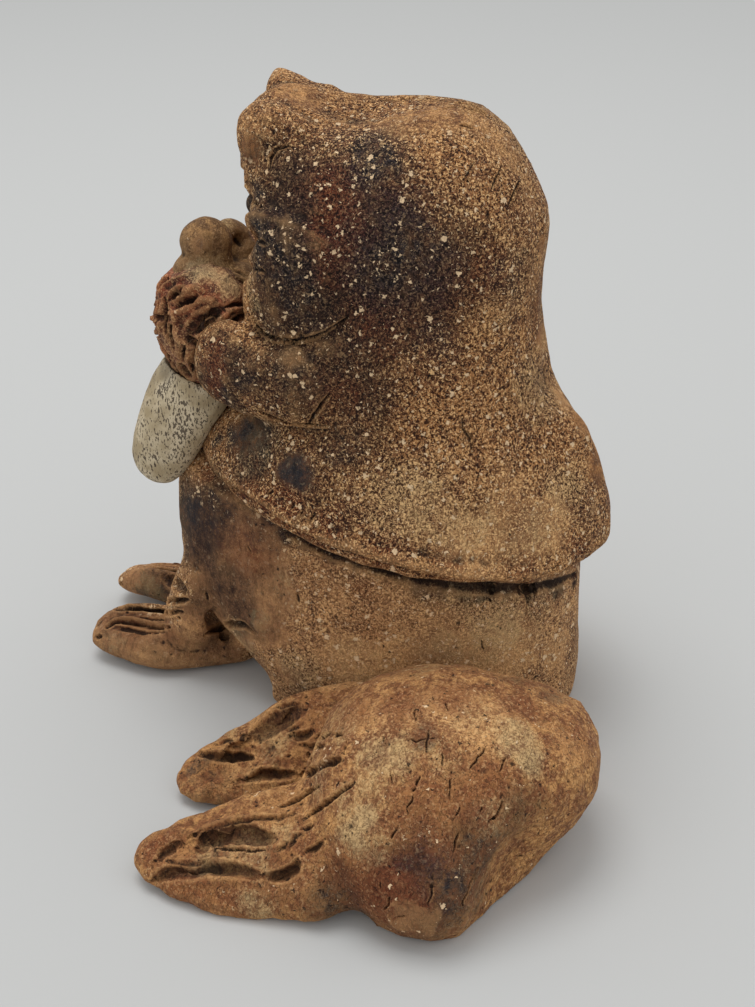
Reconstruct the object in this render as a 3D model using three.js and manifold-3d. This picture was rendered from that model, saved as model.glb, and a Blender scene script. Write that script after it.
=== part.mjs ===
// Walrus figurine, hand built from slabs and rolls of coarse stoneware.
// Millimetres, +Z up. The walrus looks along -Y and its left side is +X.
// Its hindquarters are curled round to the left, with both hind flippers pointing forward.

import * as THREE from "three";
import { mergeVertices } from "three/addons/utils/BufferGeometryUtils.js";
import Module from "manifold-3d";

const wasm = await Module();
wasm.setup();

// Seams between joined clay pieces
const SEAM = 0.3;
const NECK_CLEARANCE = 0.9;

// Head hood and shoulder cape, one slab
const HEAD_TOP = 142.5;
const HEAD_HALF_WIDTH = 27.5;
const HEAD_FRONT = 31.5;
const HEAD_BACK = 33;
const HEAD_WALL = 8.5;
const NECK_SEAT = 78;
const NECK_FLARE = 5;
const CAPE_HEM = 53;
const CAPE_HALF_WIDTH = 36;
const CAPE_FRONT = 46.5;
const CAPE_BACK = 51;
const CAPE_WALL = 4;
const CAPE_SLOPE = -0.165;
const HEM_ROUND = 1.3;
const BROW_RISE = 2.5;
const BROW_SPACING = 19;
const BROW_HALF_WIDTH = 7.5;
const BROW_HALF_HEIGHT = 8;
const BROW_LENGTH = 24.6;
const BROW_JUT = 0.6;
const FLAP_HALF_HEIGHT = 15;
const FLAP_HALF_THICKNESS = 4.2;
const SCOOP_PITCH = 6.2;
const SCOOP_LENGTH = 13;
const SCOOP_DEPTH = 2.2;

// Torso, a slab tube
const TORSO_HALF_WIDTH = 32;
const TORSO_WALL = 7;
const CHEST_FRONT = 53.5;
const CHEST_SETBACK = 22;
const TORSO_BACK = 45;
const UNDERCUT = 2.5;
const SHOULDER_SLOPE = 4;

// Rump, a pinched dome that leans on the torso's left side
const RUMP_LAP = 3;
const RUMP_Y = 23;
const RUMP_HEIGHT = 37;
const RUMP_HALF_WIDTH = 32;
const RUMP_FRONT = 27;
const RUMP_BACK = 34;
const RUMP_WALL = 7;

// Face
const MUZZLE_Z = 92.5;
const MUZZLE_HALF_WIDTH = 14;
const MUZZLE_HALF_HEIGHT = 12;
const MUZZLE_REACH = 14;
const PAD_X = 10.8;
const PAD_HALF_WIDTH = 10.5;
const PAD_HALF_HEIGHT = 14.5;
const PAD_LENGTH = 23;
const PAD_SPLAY = 3;
const JOWL_HALF_HEIGHT = 10.5;
const JOWL_HALF_THICKNESS = 5.5;
const JOWL_LENGTH = 38;
const NOSE_X = 6;
const NOSE_RADIUS = 4.6;
const NOSE_REACH = 16.5;
const NOSTRIL_RADIUS = 1.6;
const TUSK_X = 11.5;
const TUSK_RADIUS = 8;
const TUSK_LENGTH = 33;
const TUSK_LEAN = 27;
const CHIN_HALF_WIDTH = 8;
const CHIN_REACH = 9;
const EYE_X = 10;
const EYE_DROP = 21.5;
const EYE_RADIUS = 3.6;
const EYE_SINK = 2.4;

// Flippers
const FRONT_FLIPPER_X = 11;
const FRONT_FLIPPER_LENGTH = 45;
const RIGHT_FLIPPER_LEAD = 3.5;
const FRONT_FLIPPER_HALF_WIDTH = 7.8;
const FRONT_FLIPPER_HALF_HEIGHT = 5.3;
const FRONT_FLIPPER_SPLAY = 7;
const ARM_TOP = 36;
const ARM_HALF_WIDTH = 11;
const ARM_HALF_DEPTH = 12;
const HIND_FLIPPER_HALF_WIDTH = 12;
const HIND_FLIPPER_HALF_HEIGHT = 6.5;
const HIND_RIGHT_LENGTH = 50;
const HIND_LEFT_LENGTH = 62.5;
const GOUGE_WIDTH = 2.6;
const GOUGE_DEPTH = 2.4;

const BEYOND = 300; // wider than the figurine, for the cut at the floor
const SPILL = 4; // how far a hollow runs on past the opening it leaves by

const SIDES = { left: 1, right: -1 };
const both = (make) => Object.values(SIDES).map(make);
const { lerp, degToRad } = THREE.MathUtils;

// A ring of points round an oval whose front half may be squarer than its back half
function oval(section, around, grow) {
  const halfWidth = section.half + grow;
  const ring = [];
  for (let i = 0; i < around; i += 1) {
    const angle = (i / around) * 2 * Math.PI;
    const c = Math.cos(angle);
    const s = Math.sin(angle);
    const front = s < 0;
    const power = 2 / (front ? section.square : 2);
    const reach = (front ? section.front : section.back) + grow;
    const dx = halfWidth * Math.sign(c) * Math.abs(c) ** power;
    const dy = reach * Math.sign(s) * Math.abs(s) ** power;
    ring.push(new THREE.Vector3(section.x + dx, section.y + dy, section.z + section.tilt * dy));
  }
  return ring;
}

// A closed skin over rings of equal count, with one end point before them and one after
function skin(rings, start, end) {
  const around = rings[0].length;
  const points = [start, ...rings.flat(), end];
  const last = points.length - 1;
  const at = (ring, i) => 1 + ring * around + (i % around);
  const faces = [];
  for (let i = 0; i < around; i += 1) {
    faces.push(0, at(0, i + 1), at(0, i));
    for (let r = 0; r < rings.length - 1; r += 1) {
      faces.push(at(r, i), at(r, i + 1), at(r + 1, i + 1));
      faces.push(at(r, i), at(r + 1, i + 1), at(r + 1, i));
    }
    faces.push(last, at(rings.length - 1, i), at(rings.length - 1, i + 1));
  }
  const geometry = new THREE.BufferGeometry();
  geometry.setAttribute("position", new THREE.Float32BufferAttribute(points.flatMap((p) => [...p]), 3));
  geometry.setIndex(faces);
  return geometry;
}

// Reads every value of the hand-set stations at any place between the first (0) and the last (1)
function eased(stations) {
  const keys = Object.keys(stations[0]);
  const curves = keys.map((key) => {
    const points = stations.map((station) => new THREE.Vector3(station[key], 0, 0));
    return new THREE.CatmullRomCurve3(points, false, "catmullrom", 0.5);
  });
  return (t) => Object.fromEntries(keys.map((key, k) => [key, curves[k].getPoint(t).x]));
}

// An upright slab or dome lofted through ovals; grow widens it all round
function lofted(stations, { around, along, grow = 0, crown = 0 }) {
  const read = eased(stations);
  const rings = [];
  for (let r = 0; r <= along; r += 1) {
    rings.push(oval(read(r / along), around, grow));
  }
  const foot = stations[0];
  const top = stations[stations.length - 1];
  const start = new THREE.Vector3(foot.x, foot.y, foot.z);
  const end = new THREE.Vector3(top.x, top.y, top.z + crown);
  return skin(rings, start, end);
}

// Middle, directions and half sizes of a roll at t, from 0 at its start to 1 at its end
function rollSection(read, t, { blunt, grow }) {
  const here = read(t);
  const step = 0.01;
  const before = read(Math.max(t - step, 0));
  const after = read(Math.min(t + step, 1));
  const run = new THREE.Vector3(after.x - before.x, after.y - before.y, after.z - before.z).normalize();
  const level = new THREE.Vector3(0, 0, 1).cross(run).normalize();
  const upright = run.clone().cross(level);
  const turn = degToRad(here.roll);
  const side = level.clone().multiplyScalar(Math.cos(turn)).addScaledVector(upright, Math.sin(turn));
  const up = upright.clone().multiplyScalar(Math.cos(turn)).addScaledVector(level, -Math.sin(turn));
  const middle = new THREE.Vector3(here.x, here.y, here.z).addScaledVector(run, grow * (2 * t - 1));
  const round = (1 - Math.abs(2 * t - 1) ** blunt) ** (1 / blunt);
  return { middle, side, up, wide: (here.wide + grow) * round, high: (here.high + grow) * round };
}

// A roll of clay along a path, with rounded ends; a higher blunt makes the ends blunter and
// a higher square makes the section boxier
function rolled(stations, { around, along, blunt, square = 2, grow = 0 }) {
  const read = eased(stations);
  const rings = [];
  for (let r = 1; r <= along; r += 1) {
    const t = (1 - Math.cos((Math.PI * r) / (along + 1))) / 2;
    const { middle, side, up, wide, high } = rollSection(read, t, { blunt, grow });
    const ring = [];
    for (let i = 0; i < around; i += 1) {
      const angle = (i / around) * 2 * Math.PI;
      const c = Math.cos(angle);
      const s = Math.sin(angle);
      const point = middle.clone();
      point.addScaledVector(side, wide * Math.sign(c) * Math.abs(c) ** (2 / square));
      point.addScaledVector(up, high * Math.sign(s) * Math.abs(s) ** (2 / square));
      ring.push(point);
    }
    rings.push(ring);
  }
  const start = rollSection(read, 0, { blunt, grow }).middle;
  const end = rollSection(read, 1, { blunt, grow }).middle;
  return skin(rings, start, end);
}

// Pushes the skin where a thumb would, fading out over the reach of each press
function pressed(geometry, presses) {
  const position = geometry.getAttribute("position");
  const point = new THREE.Vector3();
  for (let i = 0; i < position.count; i += 1) {
    point.fromBufferAttribute(position, i);
    const moved = point.clone();
    for (const { at, by, reach } of presses) {
      const fade = Math.exp(-((point.distanceTo(new THREE.Vector3(...at)) / reach) ** 2));
      moved.addScaledVector(new THREE.Vector3(...by), fade);
    }
    position.setXYZ(i, moved.x, moved.y, moved.z);
  }
  return geometry;
}

// A solid that can be cut and joined, from a closed geometry
function solid(geometry) {
  const bare = geometry.clone();
  bare.deleteAttribute("normal");
  bare.deleteAttribute("uv");
  const merged = mergeVertices(bare, 1e-4);
  const vertProperties = new Float32Array(merged.getAttribute("position").array);
  const triVerts = new Uint32Array(merged.getIndex().array);
  return new wasm.Manifold(new wasm.Mesh({ numProp: 3, vertProperties, triVerts }));
}

const cut = (body, ...cutters) => cutters.reduce((left, cutter) => left.subtract(cutter), body);
const joined = (body, ...others) => others.reduce((left, other) => left.add(other), body);

// Everything below the floor, taken off what stands on it
const belowFloor = solid(new THREE.BoxGeometry(BEYOND, BEYOND, BEYOND).translate(0, 0, -BEYOND / 2));

// A leaf-shaped tool mark in the surface of a roll, between two places given as
// [share of the roll's length, angle round its section]; wide and deep are multiples of
// the plain mark's size
function gouge(stations, blunt, { from, to, wide = 1, deep = 1 }) {
  const read = eased(stations);
  const marks = [0, 0.35, 0.7, 1].map((share) => {
    const t = lerp(from[0], to[0], share);
    const angle = degToRad(lerp(from[1], to[1], share));
    const section = rollSection(read, t, { blunt, grow: 0 });
    const point = section.middle.clone();
    point.addScaledVector(section.side, section.wide * Math.cos(angle));
    point.addScaledVector(section.up, section.high * Math.sin(angle));
    const half = { wide: (wide * GOUGE_WIDTH) / 2, high: deep * GOUGE_DEPTH };
    return { x: point.x, y: point.y, z: point.z, ...half, roll: 0 };
  });
  return solid(rolled(marks, { around: 6, along: 3, blunt: 1.6 }));
}
const gouges = (stations, blunt, marks) => marks.map((mark) => gouge(stations, blunt, mark));

// The tool marks of the left side, turned over for the roll on the right
function marksFor(side, marks) {
  const turned = ([share, angle]) => [share, side > 0 ? angle : 180 - angle];
  return marks.map((mark) => ({ ...mark, from: turned(mark.from), to: turned(mark.to) }));
}

const colours = {
  body: 0x8a6242,
  head: 0x6f4f3b,
  rump: 0x9a6538,
  face: 0x8f7448,
  pad: 0x8c4f38,
  tusk: 0xd9cfba,
  eye: 0x2e2622,
};

const figure = new THREE.Group();

function place(name, body, color, roughness = 0.95) {
  const mesh = body.getMesh();
  const geometry = new THREE.BufferGeometry();
  geometry.setAttribute("position", new THREE.BufferAttribute(new Float32Array(mesh.vertProperties), 3));
  geometry.setIndex(new THREE.BufferAttribute(new Uint32Array(mesh.triVerts), 1));
  geometry.computeVertexNormals();
  const node = new THREE.Mesh(geometry, new THREE.MeshStandardMaterial({ color, roughness, metalness: 0 }));
  node.name = name;
  figure.add(node);
}

// Head and cape. The cape flares from the neck seat down to the hem, and the head is a
// tall dome above it whose front is squarer than its back
const neck = {
  half: HEAD_HALF_WIDTH + NECK_FLARE / 2,
  front: HEAD_FRONT + NECK_FLARE / 4,
  back: HEAD_BACK + NECK_FLARE,
};

function capeStations() {
  return [0, 0.25, 0.5, 0.75, 1].map((share) => {
    const inward = share ** 1.8;
    return {
      x: 0,
      y: 0,
      z: lerp(CAPE_HEM, NECK_SEAT, share),
      tilt: CAPE_SLOPE * (1 - share),
      half: lerp(CAPE_HALF_WIDTH, neck.half, inward),
      front: lerp(CAPE_FRONT, neck.front, inward),
      back: lerp(CAPE_BACK, neck.back, inward),
      square: 2 + 0.4 * share,
    };
  });
}

function headStations(top) {
  const profile = [
    { rise: 0.12, half: 1.04, front: 1, back: 1.07 },
    { rise: 0.27, half: 1.02, front: 0.985, back: 1 },
    { rise: 0.42, half: 1, front: 0.99, back: 0.985 },
    { rise: 0.58, half: 0.96, front: 1.01, back: 0.985 },
    { rise: 0.73, half: 0.88, front: 1.04, back: 0.94 },
    { rise: 0.85, half: 0.73, front: 1.05, back: 0.83 },
    { rise: 0.94, half: 0.52, front: 1, back: 0.68 },
    { rise: 1, half: 0.28, front: 0.82, back: 0.42 },
  ];
  return profile.map(({ rise, half, front, back }) => ({
    x: 0,
    y: 0,
    z: lerp(NECK_SEAT, top, rise),
    tilt: -0.08 * rise ** 2,
    half: half * HEAD_HALF_WIDTH,
    front: front * HEAD_FRONT,
    back: back * HEAD_BACK,
    square: 2.4 + 0.6 * rise,
  }));
}

function hoodOuter(grow) {
  const cape = capeStations();
  const rim = { ...cape[0] };
  for (const width of ["half", "front", "back"]) {
    rim[width] -= HEM_ROUND;
  }
  cape[0].z += HEM_ROUND;
  const stations = [rim, ...cape, ...headStations(HEAD_TOP)];
  return solid(lofted(stations, { around: 26, along: 21, grow, crown: 0.6 + grow }));
}

// Two rounded brow lobes with a fold between them, running back over the crown
function brow(side, grow) {
  const x = (side * BROW_SPACING) / 2;
  const y = (share) => -HEAD_FRONT - BROW_JUT + BROW_LENGTH * share;
  const z = (drop) => HEAD_TOP + BROW_RISE - BROW_HALF_HEIGHT * drop;
  const wide = BROW_HALF_WIDTH;
  const high = BROW_HALF_HEIGHT;
  const stations = [
    { x, y: y(0), z: z(1.12), wide: wide * 0.93, high, roll: side * -12 },
    { x, y: y(0.42), z: z(1.12), wide, high, roll: side * -12 },
    { x: x * 0.8, y: y(1), z: z(1.38), wide: wide * 0.8, high: high * 0.75, roll: 0 },
  ];
  return solid(rolled(stations, { around: 12, along: 6, blunt: 2.6, grow }));
}

// The slab's lower front corner stands proud of the cheek beneath it
function flap(side, grow) {
  const z = MUZZLE_Z + MUZZLE_HALF_HEIGHT + FLAP_HALF_HEIGHT * 0.37;
  const stations = [
    { out: 0.564, ahead: 0.952, rise: 0.07, wide: 0.83, high: 0.9 },
    { out: 0.782, ahead: 0.746, rise: 0, wide: 1, high: 1 },
    { out: 0.891, ahead: 0.492, rise: 0.1, wide: 0.86, high: 0.87 },
    { out: 0.916, ahead: 0.143, rise: 0.27, wide: 0.48, high: 0.53 },
  ].map(({ out, ahead, rise, wide, high }) => ({
    x: side * HEAD_HALF_WIDTH * out,
    y: -HEAD_FRONT * ahead,
    z: z + FLAP_HALF_HEIGHT * rise,
    wide: FLAP_HALF_THICKNESS * wide,
    high: FLAP_HALF_HEIGHT * high,
    roll: 0,
  }));
  return solid(rolled(stations, { around: 12, along: 7, blunt: 3.4, square: 3, grow }));
}

function hoodHollow(grow) {
  const cape = capeStations();
  const below = { ...cape[0], z: CAPE_HEM - 2 * SPILL };
  const capeHollow = solid(lofted([below, ...cape], { around: 22, along: 7, grow: grow - CAPE_WALL }));
  const neckSection = { ...cape[cape.length - 1], z: lerp(CAPE_HEM, NECK_SEAT, 0.96) };
  const headRoom = [neckSection, ...headStations(HEAD_TOP - HEAD_WALL).slice(0, -1)];
  const headHollow = solid(lofted(headRoom, { around: 20, along: 9, grow: grow - HEAD_WALL }));
  return joined(capeHollow, headHollow);
}

function hoodShape(grow) {
  return joined(hoodOuter(grow), ...both((side) => flap(side, grow)), ...both((side) => brow(side, grow)));
}
const hoodGrown = hoodShape(SEAM);

const eyeZ = HEAD_TOP - EYE_DROP;
function eyeball(side, grow) {
  const ball = new THREE.SphereGeometry(EYE_RADIUS + grow, 12, 8);
  return solid(ball.translate(side * EYE_X, -HEAD_FRONT + EYE_SINK, eyeZ));
}
const sockets = both((side) => eyeball(side, SEAM));

// Scoops that leave the ridged edge beside each eye
const SCOOPS_A_SIDE = 4;
function edgeScoop(side, row) {
  const stations = [0, 0.5, 1].map((share) => ({
    x: side * (EYE_X - EYE_RADIUS + SCOOP_LENGTH * share),
    y: -HEAD_FRONT + SCOOP_LENGTH * (0.2 * share - 0.04),
    z: eyeZ + SCOOP_PITCH * (1 - row) - SCOOP_LENGTH * 0.08 * share,
    wide: SCOOP_DEPTH,
    high: SCOOP_PITCH * 0.42,
    roll: 0,
  }));
  return solid(rolled(stations, { around: 6, along: 3, blunt: 2 }));
}
const rows = Array.from({ length: SCOOPS_A_SIDE }, (_, row) => row);
const edgeScoops = both((side) => rows.map((row) => edgeScoop(side, row))).flat();
place("hood", cut(hoodShape(0), hoodHollow(0), ...edgeScoops, ...sockets), colours.head);

// Torso, a tube that bears the cape on its chest and the head on its upper end
function torsoStations() {
  const half = TORSO_HALF_WIDTH;
  const back = TORSO_BACK;
  const chest = (set) => CHEST_FRONT - CHEST_SETBACK * set;
  const base = { x: 0, y: 0, tilt: 0, square: 2.2 };
  const easing = { ...base, tilt: CAPE_SLOPE / 2 };
  const leaning = { ...base, tilt: CAPE_SLOPE };
  const hemLevel = CAPE_HEM * 0.95;
  const midNeck = (CAPE_HEM + NECK_SEAT) / 2;
  const inside = CAPE_WALL + NECK_CLEARANCE;
  const underHem = {
    half: CAPE_HALF_WIDTH - inside - UNDERCUT,
    front: CAPE_FRONT - inside - UNDERCUT * 0.8,
    back: CAPE_BACK - inside - UNDERCUT * 1.6,
  };
  const collar = { half: neck.half - inside, front: neck.front - inside, back: neck.back - inside };
  const shoulder = {
    half: collar.half + SHOULDER_SLOPE / 4,
    front: collar.front + SHOULDER_SLOPE,
    back: collar.back + SHOULDER_SLOPE,
  };
  return [
    { ...base, z: 0, half: half * 0.95, front: chest(1), back },
    { ...base, z: hemLevel * 0.08, half: half * 0.98, front: chest(0.82), back: back * 1.02 },
    { ...base, z: hemLevel * 0.22, half, front: chest(0.36), back: back * 1.02 },
    { ...base, z: hemLevel * 0.36, half, front: chest(0.09), back: back * 1.01 },
    { ...base, z: hemLevel * 0.64, half, front: chest(0), back },
    { ...easing, z: hemLevel * 0.85, half: half * 0.98, front: chest(0), back: back * 0.99 },
    { ...leaning, z: hemLevel, half: half * 0.95, front: chest(0.09), back: back * 0.97 },
    { ...leaning, z: CAPE_HEM * 1.04, ...underHem },
    { ...easing, z: midNeck, ...shoulder },
    { ...base, z: NECK_SEAT - SEAM, ...collar },
  ];
}

const torsoOuter = (grow) => solid(lofted(torsoStations(), { around: 26, along: 15, grow }));

function torsoHollow() {
  const stations = torsoStations();
  stations.unshift({ ...stations[0], z: -SPILL });
  stations.push({ ...stations[stations.length - 1], z: NECK_SEAT + SPILL });
  return solid(lofted(stations, { around: 22, along: 9, grow: -TORSO_WALL }));
}

const torsoGrown = torsoOuter(SEAM);
const hoodRoom = cut(hoodGrown, hoodHollow(-SEAM));
place("torso", cut(torsoOuter(0), torsoHollow(), hoodRoom), colours.body);

// Rump, a dome of clay open below, pressed against the torso's left side
const rumpX = TORSO_HALF_WIDTH + RUMP_HALF_WIDTH - RUMP_LAP;

function rumpStations(height) {
  const profile = [
    { rise: 0, half: 0.9, front: 0.74, back: 0.8 },
    { rise: 0.2, half: 1, front: 0.94, back: 0.96 },
    { rise: 0.42, half: 0.985, front: 1, back: 1 },
    { rise: 0.64, half: 0.86, front: 0.93, back: 0.93 },
    { rise: 0.83, half: 0.65, front: 0.72, back: 0.75 },
    { rise: 0.96, half: 0.36, front: 0.38, back: 0.42 },
  ];
  return profile.map(({ rise, half, front, back }) => ({
    x: rumpX,
    y: RUMP_Y,
    z: rise * height,
    tilt: 0,
    half: half * RUMP_HALF_WIDTH,
    front: front * RUMP_FRONT,
    back: back * RUMP_BACK,
    square: 2,
  }));
}

// Thumb presses, with places as shares of the dome's sizes and the rest of its half width
const rumpPresses = [
  { at: [0.75, 0.79, 0.24], by: [-0.19, -0.19, 0], reach: 0.375 },
  { at: [0.25, 0.97, 0.11], by: [0, -0.16, 0], reach: 0.44 },
  { at: [0.875, 0.18, 0.16], by: [0.11, 0, 0], reach: 0.375 },
  { at: [-0.53, 0.79, 0.54], by: [-0.06, 0.09, 0.125], reach: 0.44 },
].map(({ at, by, reach }) => ({
  at: [rumpX + at[0] * RUMP_HALF_WIDTH, RUMP_Y + at[1] * RUMP_BACK, at[2] * RUMP_HEIGHT],
  by: by.map((share) => share * RUMP_HALF_WIDTH),
  reach: reach * RUMP_HALF_WIDTH,
}));

function rumpOuter(grow) {
  const dome = lofted(rumpStations(RUMP_HEIGHT), { around: 28, along: 12, grow, crown: 1.2 + grow });
  return solid(pressed(dome, rumpPresses));
}

// The hollow follows the presses of the outside, so the wall keeps its thickness
function rumpHollow() {
  const stations = rumpStations(RUMP_HEIGHT - RUMP_WALL);
  stations.unshift({ ...stations[0], z: -SPILL });
  return solid(pressed(lofted(stations, { around: 20, along: 8, grow: -RUMP_WALL }), rumpPresses));
}

const rumpGrown = rumpOuter(SEAM);
place("rump", cut(rumpOuter(0), rumpHollow(), torsoGrown), colours.rump);

// Hind flippers, two gouged spoons side by side that leave the front of the rump. The root
// is given in shares of the rump, and a profile in shares of length, height and half sizes
const HIND_BLUNT = 2.4;

function hindStations({ x, y, length }, profile) {
  return profile.map(({ out, z, wide, high, roll }, i) => ({
    x: rumpX + RUMP_HALF_WIDTH * x + length * out,
    y: RUMP_Y + RUMP_FRONT * y - (length * i) / (profile.length - 1),
    z: RUMP_HEIGHT * z,
    wide: HIND_FLIPPER_HALF_WIDTH * wide,
    high: HIND_FLIPPER_HALF_HEIGHT * high,
    roll,
  }));
}

const hindRight = hindStations({ x: -0.625, y: -0.333, length: HIND_RIGHT_LENGTH }, [
  { out: 0, z: 0.43, wide: 1, high: 1.31, roll: -22 },
  { out: 0.04, z: 0.357, wide: 1, high: 1.23, roll: -22 },
  { out: 0.16, z: 0.227, wide: 0.917, high: 0.877, roll: -22 },
  { out: 0.3, z: 0.151, wide: 0.833, high: 0.754, roll: -22 },
  { out: 0.44, z: 0.097, wide: 0.667, high: 0.6, roll: -20 },
]);
const hindLeft = hindStations({ x: 0.4375, y: 0.148, length: HIND_LEFT_LENGTH }, [
  { out: 0, z: 0.324, wide: 1.167, high: 1.31, roll: -24 },
  { out: 0.056, z: 0.297, wide: 1.25, high: 1.385, roll: -26 },
  { out: 0.112, z: 0.216, wide: 1.208, high: 1.077, roll: -28 },
  { out: 0.168, z: 0.162, wide: 0.958, high: 0.923, roll: -28 },
  { out: 0.192, z: 0.122, wide: 0.667, high: 0.692, roll: -26 },
]);
function hindShape(stations, grow) {
  return solid(rolled(stations, { around: 16, along: 11, blunt: HIND_BLUNT, grow }));
}
const hindMarks = [
  { from: [0.5, 90], to: [0.92, 84], wide: 5, deep: 1.1 },
  { from: [0.5, 128], to: [0.82, 140] },
  { from: [0.42, 100], to: [0.92, 96], wide: 0.85 },
  { from: [0.5, 78], to: [0.84, 72], wide: 1.2, deep: 1.25 },
  { from: [0.44, 56], to: [0.93, 46] },
];

function hindFlipper(stations, ...neighbours) {
  const marks = gouges(stations, HIND_BLUNT, hindMarks);
  return cut(hindShape(stations, 0), belowFloor, rumpGrown, torsoGrown, ...neighbours, ...marks);
}
place("hind_flipper_right", hindFlipper(hindRight), colours.rump);
place("hind_flipper_left", hindFlipper(hindLeft, hindShape(hindRight, SEAM)), colours.rump);

// Front flippers, each a gouged paddle with a short arm under the chest
const FRONT_BLUNT = 3;

function frontStations(side) {
  const heel = -CHEST_FRONT + CHEST_SETBACK;
  const length = FRONT_FLIPPER_LENGTH + (side < 0 ? RIGHT_FLIPPER_LEAD : 0);
  const profile = [
    { out: -0.64, wide: 0.77, high: 1, roll: 0 },
    { out: -0.29, wide: 0.9, high: 1, roll: -8 },
    { out: 0, wide: 1, high: 1, roll: -12 },
    { out: 0.21, wide: 1, high: 0.95, roll: -12 },
    { out: 0.36, wide: 0.9, high: 0.82, roll: -8 },
  ];
  return profile.map(({ out, wide, high, roll }, i) => ({
    x: side * (FRONT_FLIPPER_X + FRONT_FLIPPER_SPLAY * out),
    y: heel - (length * i) / (profile.length - 1),
    z: FRONT_FLIPPER_HALF_HEIGHT,
    wide: FRONT_FLIPPER_HALF_WIDTH * wide,
    high: FRONT_FLIPPER_HALF_HEIGHT * high,
    roll: side * roll,
  }));
}

function armStations(side) {
  const x = (out) => side * (FRONT_FLIPPER_X + ARM_HALF_WIDTH * out);
  const y = (back) => -CHEST_FRONT + ARM_HALF_DEPTH * back;
  const wide = ARM_HALF_WIDTH;
  const high = ARM_HALF_DEPTH;
  return [
    { x: x(0.27), y: y(1.25), z: ARM_TOP, wide, high, roll: 0 },
    { x: x(0.09), y: y(0.63), z: ARM_TOP * 0.53, wide: wide * 0.86, high: high * 0.71, roll: 0 },
    { x: x(0), y: y(0.08), z: FRONT_FLIPPER_HALF_HEIGHT, wide: wide * 0.68, high: high * 0.58, roll: 0 },
  ];
}

const frontMarks = [
  { from: [0.42, 96], to: [0.93, 92], wide: 3.5, deep: 0.75 },
  { from: [0.42, 118], to: [0.86, 124], wide: 1.15, deep: 1.15 },
  { from: [0.4, 78], to: [0.94, 70], wide: 1.15, deep: 1.15 },
  { from: [0.92, 100], to: [1, 96], wide: 0.9, deep: 1.25 },
];

for (const [word, side] of Object.entries(SIDES)) {
  const stations = frontStations(side);
  const paddle = solid(rolled(stations, { around: 16, along: 10, blunt: FRONT_BLUNT }));
  const arm = solid(rolled(armStations(side), { around: 12, along: 6, blunt: 3 }));
  const marks = gouges(stations, FRONT_BLUNT, marksFor(side, frontMarks));
  place(`front_flipper_${word}`, cut(joined(paddle, arm), belowFloor, torsoGrown, ...marks), colours.rump);
}

// Muzzle block on the front of the head
function muzzleShape(grow) {
  const y = (reach) => -HEAD_FRONT - MUZZLE_REACH * reach;
  const wide = MUZZLE_HALF_WIDTH;
  const high = MUZZLE_HALF_HEIGHT;
  const stations = [
    { x: 0, y: y(-0.57), z: MUZZLE_Z, wide, high: high * 0.96, roll: 0 },
    { x: 0, y: y(0.14), z: MUZZLE_Z, wide, high, roll: 0 },
    { x: 0, y: y(1), z: MUZZLE_Z, wide: wide * 0.93, high: high * 0.92, roll: 0 },
  ];
  return solid(rolled(stations, { around: 16, along: 8, blunt: 3.4, grow }));
}
const muzzleGrown = muzzleShape(SEAM);
place("muzzle", cut(muzzleShape(0), hoodGrown), colours.face);

// Each jowl is a thick roll under the slab's corner, from the muzzle back round the head.
// out runs from the muzzle's side to the head's side
function jowlShape(side, grow) {
  const profile = [
    { out: 0.22, back: 0.06, rise: 0.1, wide: 1.18, high: 0.95 },
    { out: 0.48, back: 0.21, rise: 0.05, wide: 1.09, high: 1 },
    { out: 0.78, back: 0.447, rise: 0, wide: 1, high: 1 },
    { out: 0.93, back: 0.71, rise: -0.05, wide: 0.91, high: 0.905 },
    { out: 0.93, back: 1, rise: 0.05, wide: 0.545, high: 0.62 },
  ];
  const stations = profile.map(({ out, back, rise, wide, high }) => ({
    x: side * lerp(MUZZLE_HALF_WIDTH, HEAD_HALF_WIDTH, out),
    y: -HEAD_FRONT - MUZZLE_REACH * 0.75 + JOWL_LENGTH * back,
    z: MUZZLE_Z - JOWL_HALF_HEIGHT * (0.48 - rise),
    wide: JOWL_HALF_THICKNESS * wide,
    high: JOWL_HALF_HEIGHT * high,
    roll: 0,
  }));
  return solid(rolled(stations, { around: 14, along: 8, blunt: 3, grow }));
}
for (const [word, side] of Object.entries(SIDES)) {
  place(`jowl_${word}`, cut(jowlShape(side, 0), hoodGrown, muzzleGrown), colours.head);
}

// Whisker pads, covered in leaf-shaped gouges
const PAD_BLUNT = 2.2;

function padStations(side) {
  const x = (out) => side * (PAD_X + PAD_SPLAY * out);
  const y = (share) => -HEAD_FRONT - PAD_LENGTH * (share - 0.05);
  const z = (rise) => MUZZLE_Z + PAD_HALF_HEIGHT * rise;
  const wide = PAD_HALF_WIDTH;
  const high = PAD_HALF_HEIGHT;
  return [
    { x: x(1), y: y(0), z: z(-0.03), wide, high, roll: 0 },
    { x: x(0.23), y: y(0.5), z: z(0.03), wide, high, roll: 0 },
    { x: x(-0.33), y: y(1), z: z(-0.03), wide: wide * 0.9, high, roll: 0 },
  ];
}
function padShape(side, grow) {
  return solid(rolled(padStations(side), { around: 16, along: 8, blunt: PAD_BLUNT, grow }));
}
const padMarks = [
  { from: [0.8, 48], to: [0.46, 70] },
  { from: [0.76, 24], to: [0.44, 48] },
  { from: [0.68, 4], to: [0.3, 26], wide: 1.3, deep: 1.25 },
  { from: [0.88, 62], to: [0.92, 8] },
  { from: [0.85, 22], to: [0.84, -22] },
  { from: [0.93, -12], to: [0.86, -64] },
  { from: [0.72, -14], to: [0.7, -48], wide: 1.3, deep: 1.25 },
  { from: [0.6, -50], to: [0.62, -84], wide: 1.3, deep: 1.25 },
];
const jowlsGrown = both((side) => jowlShape(side, SEAM));
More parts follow.
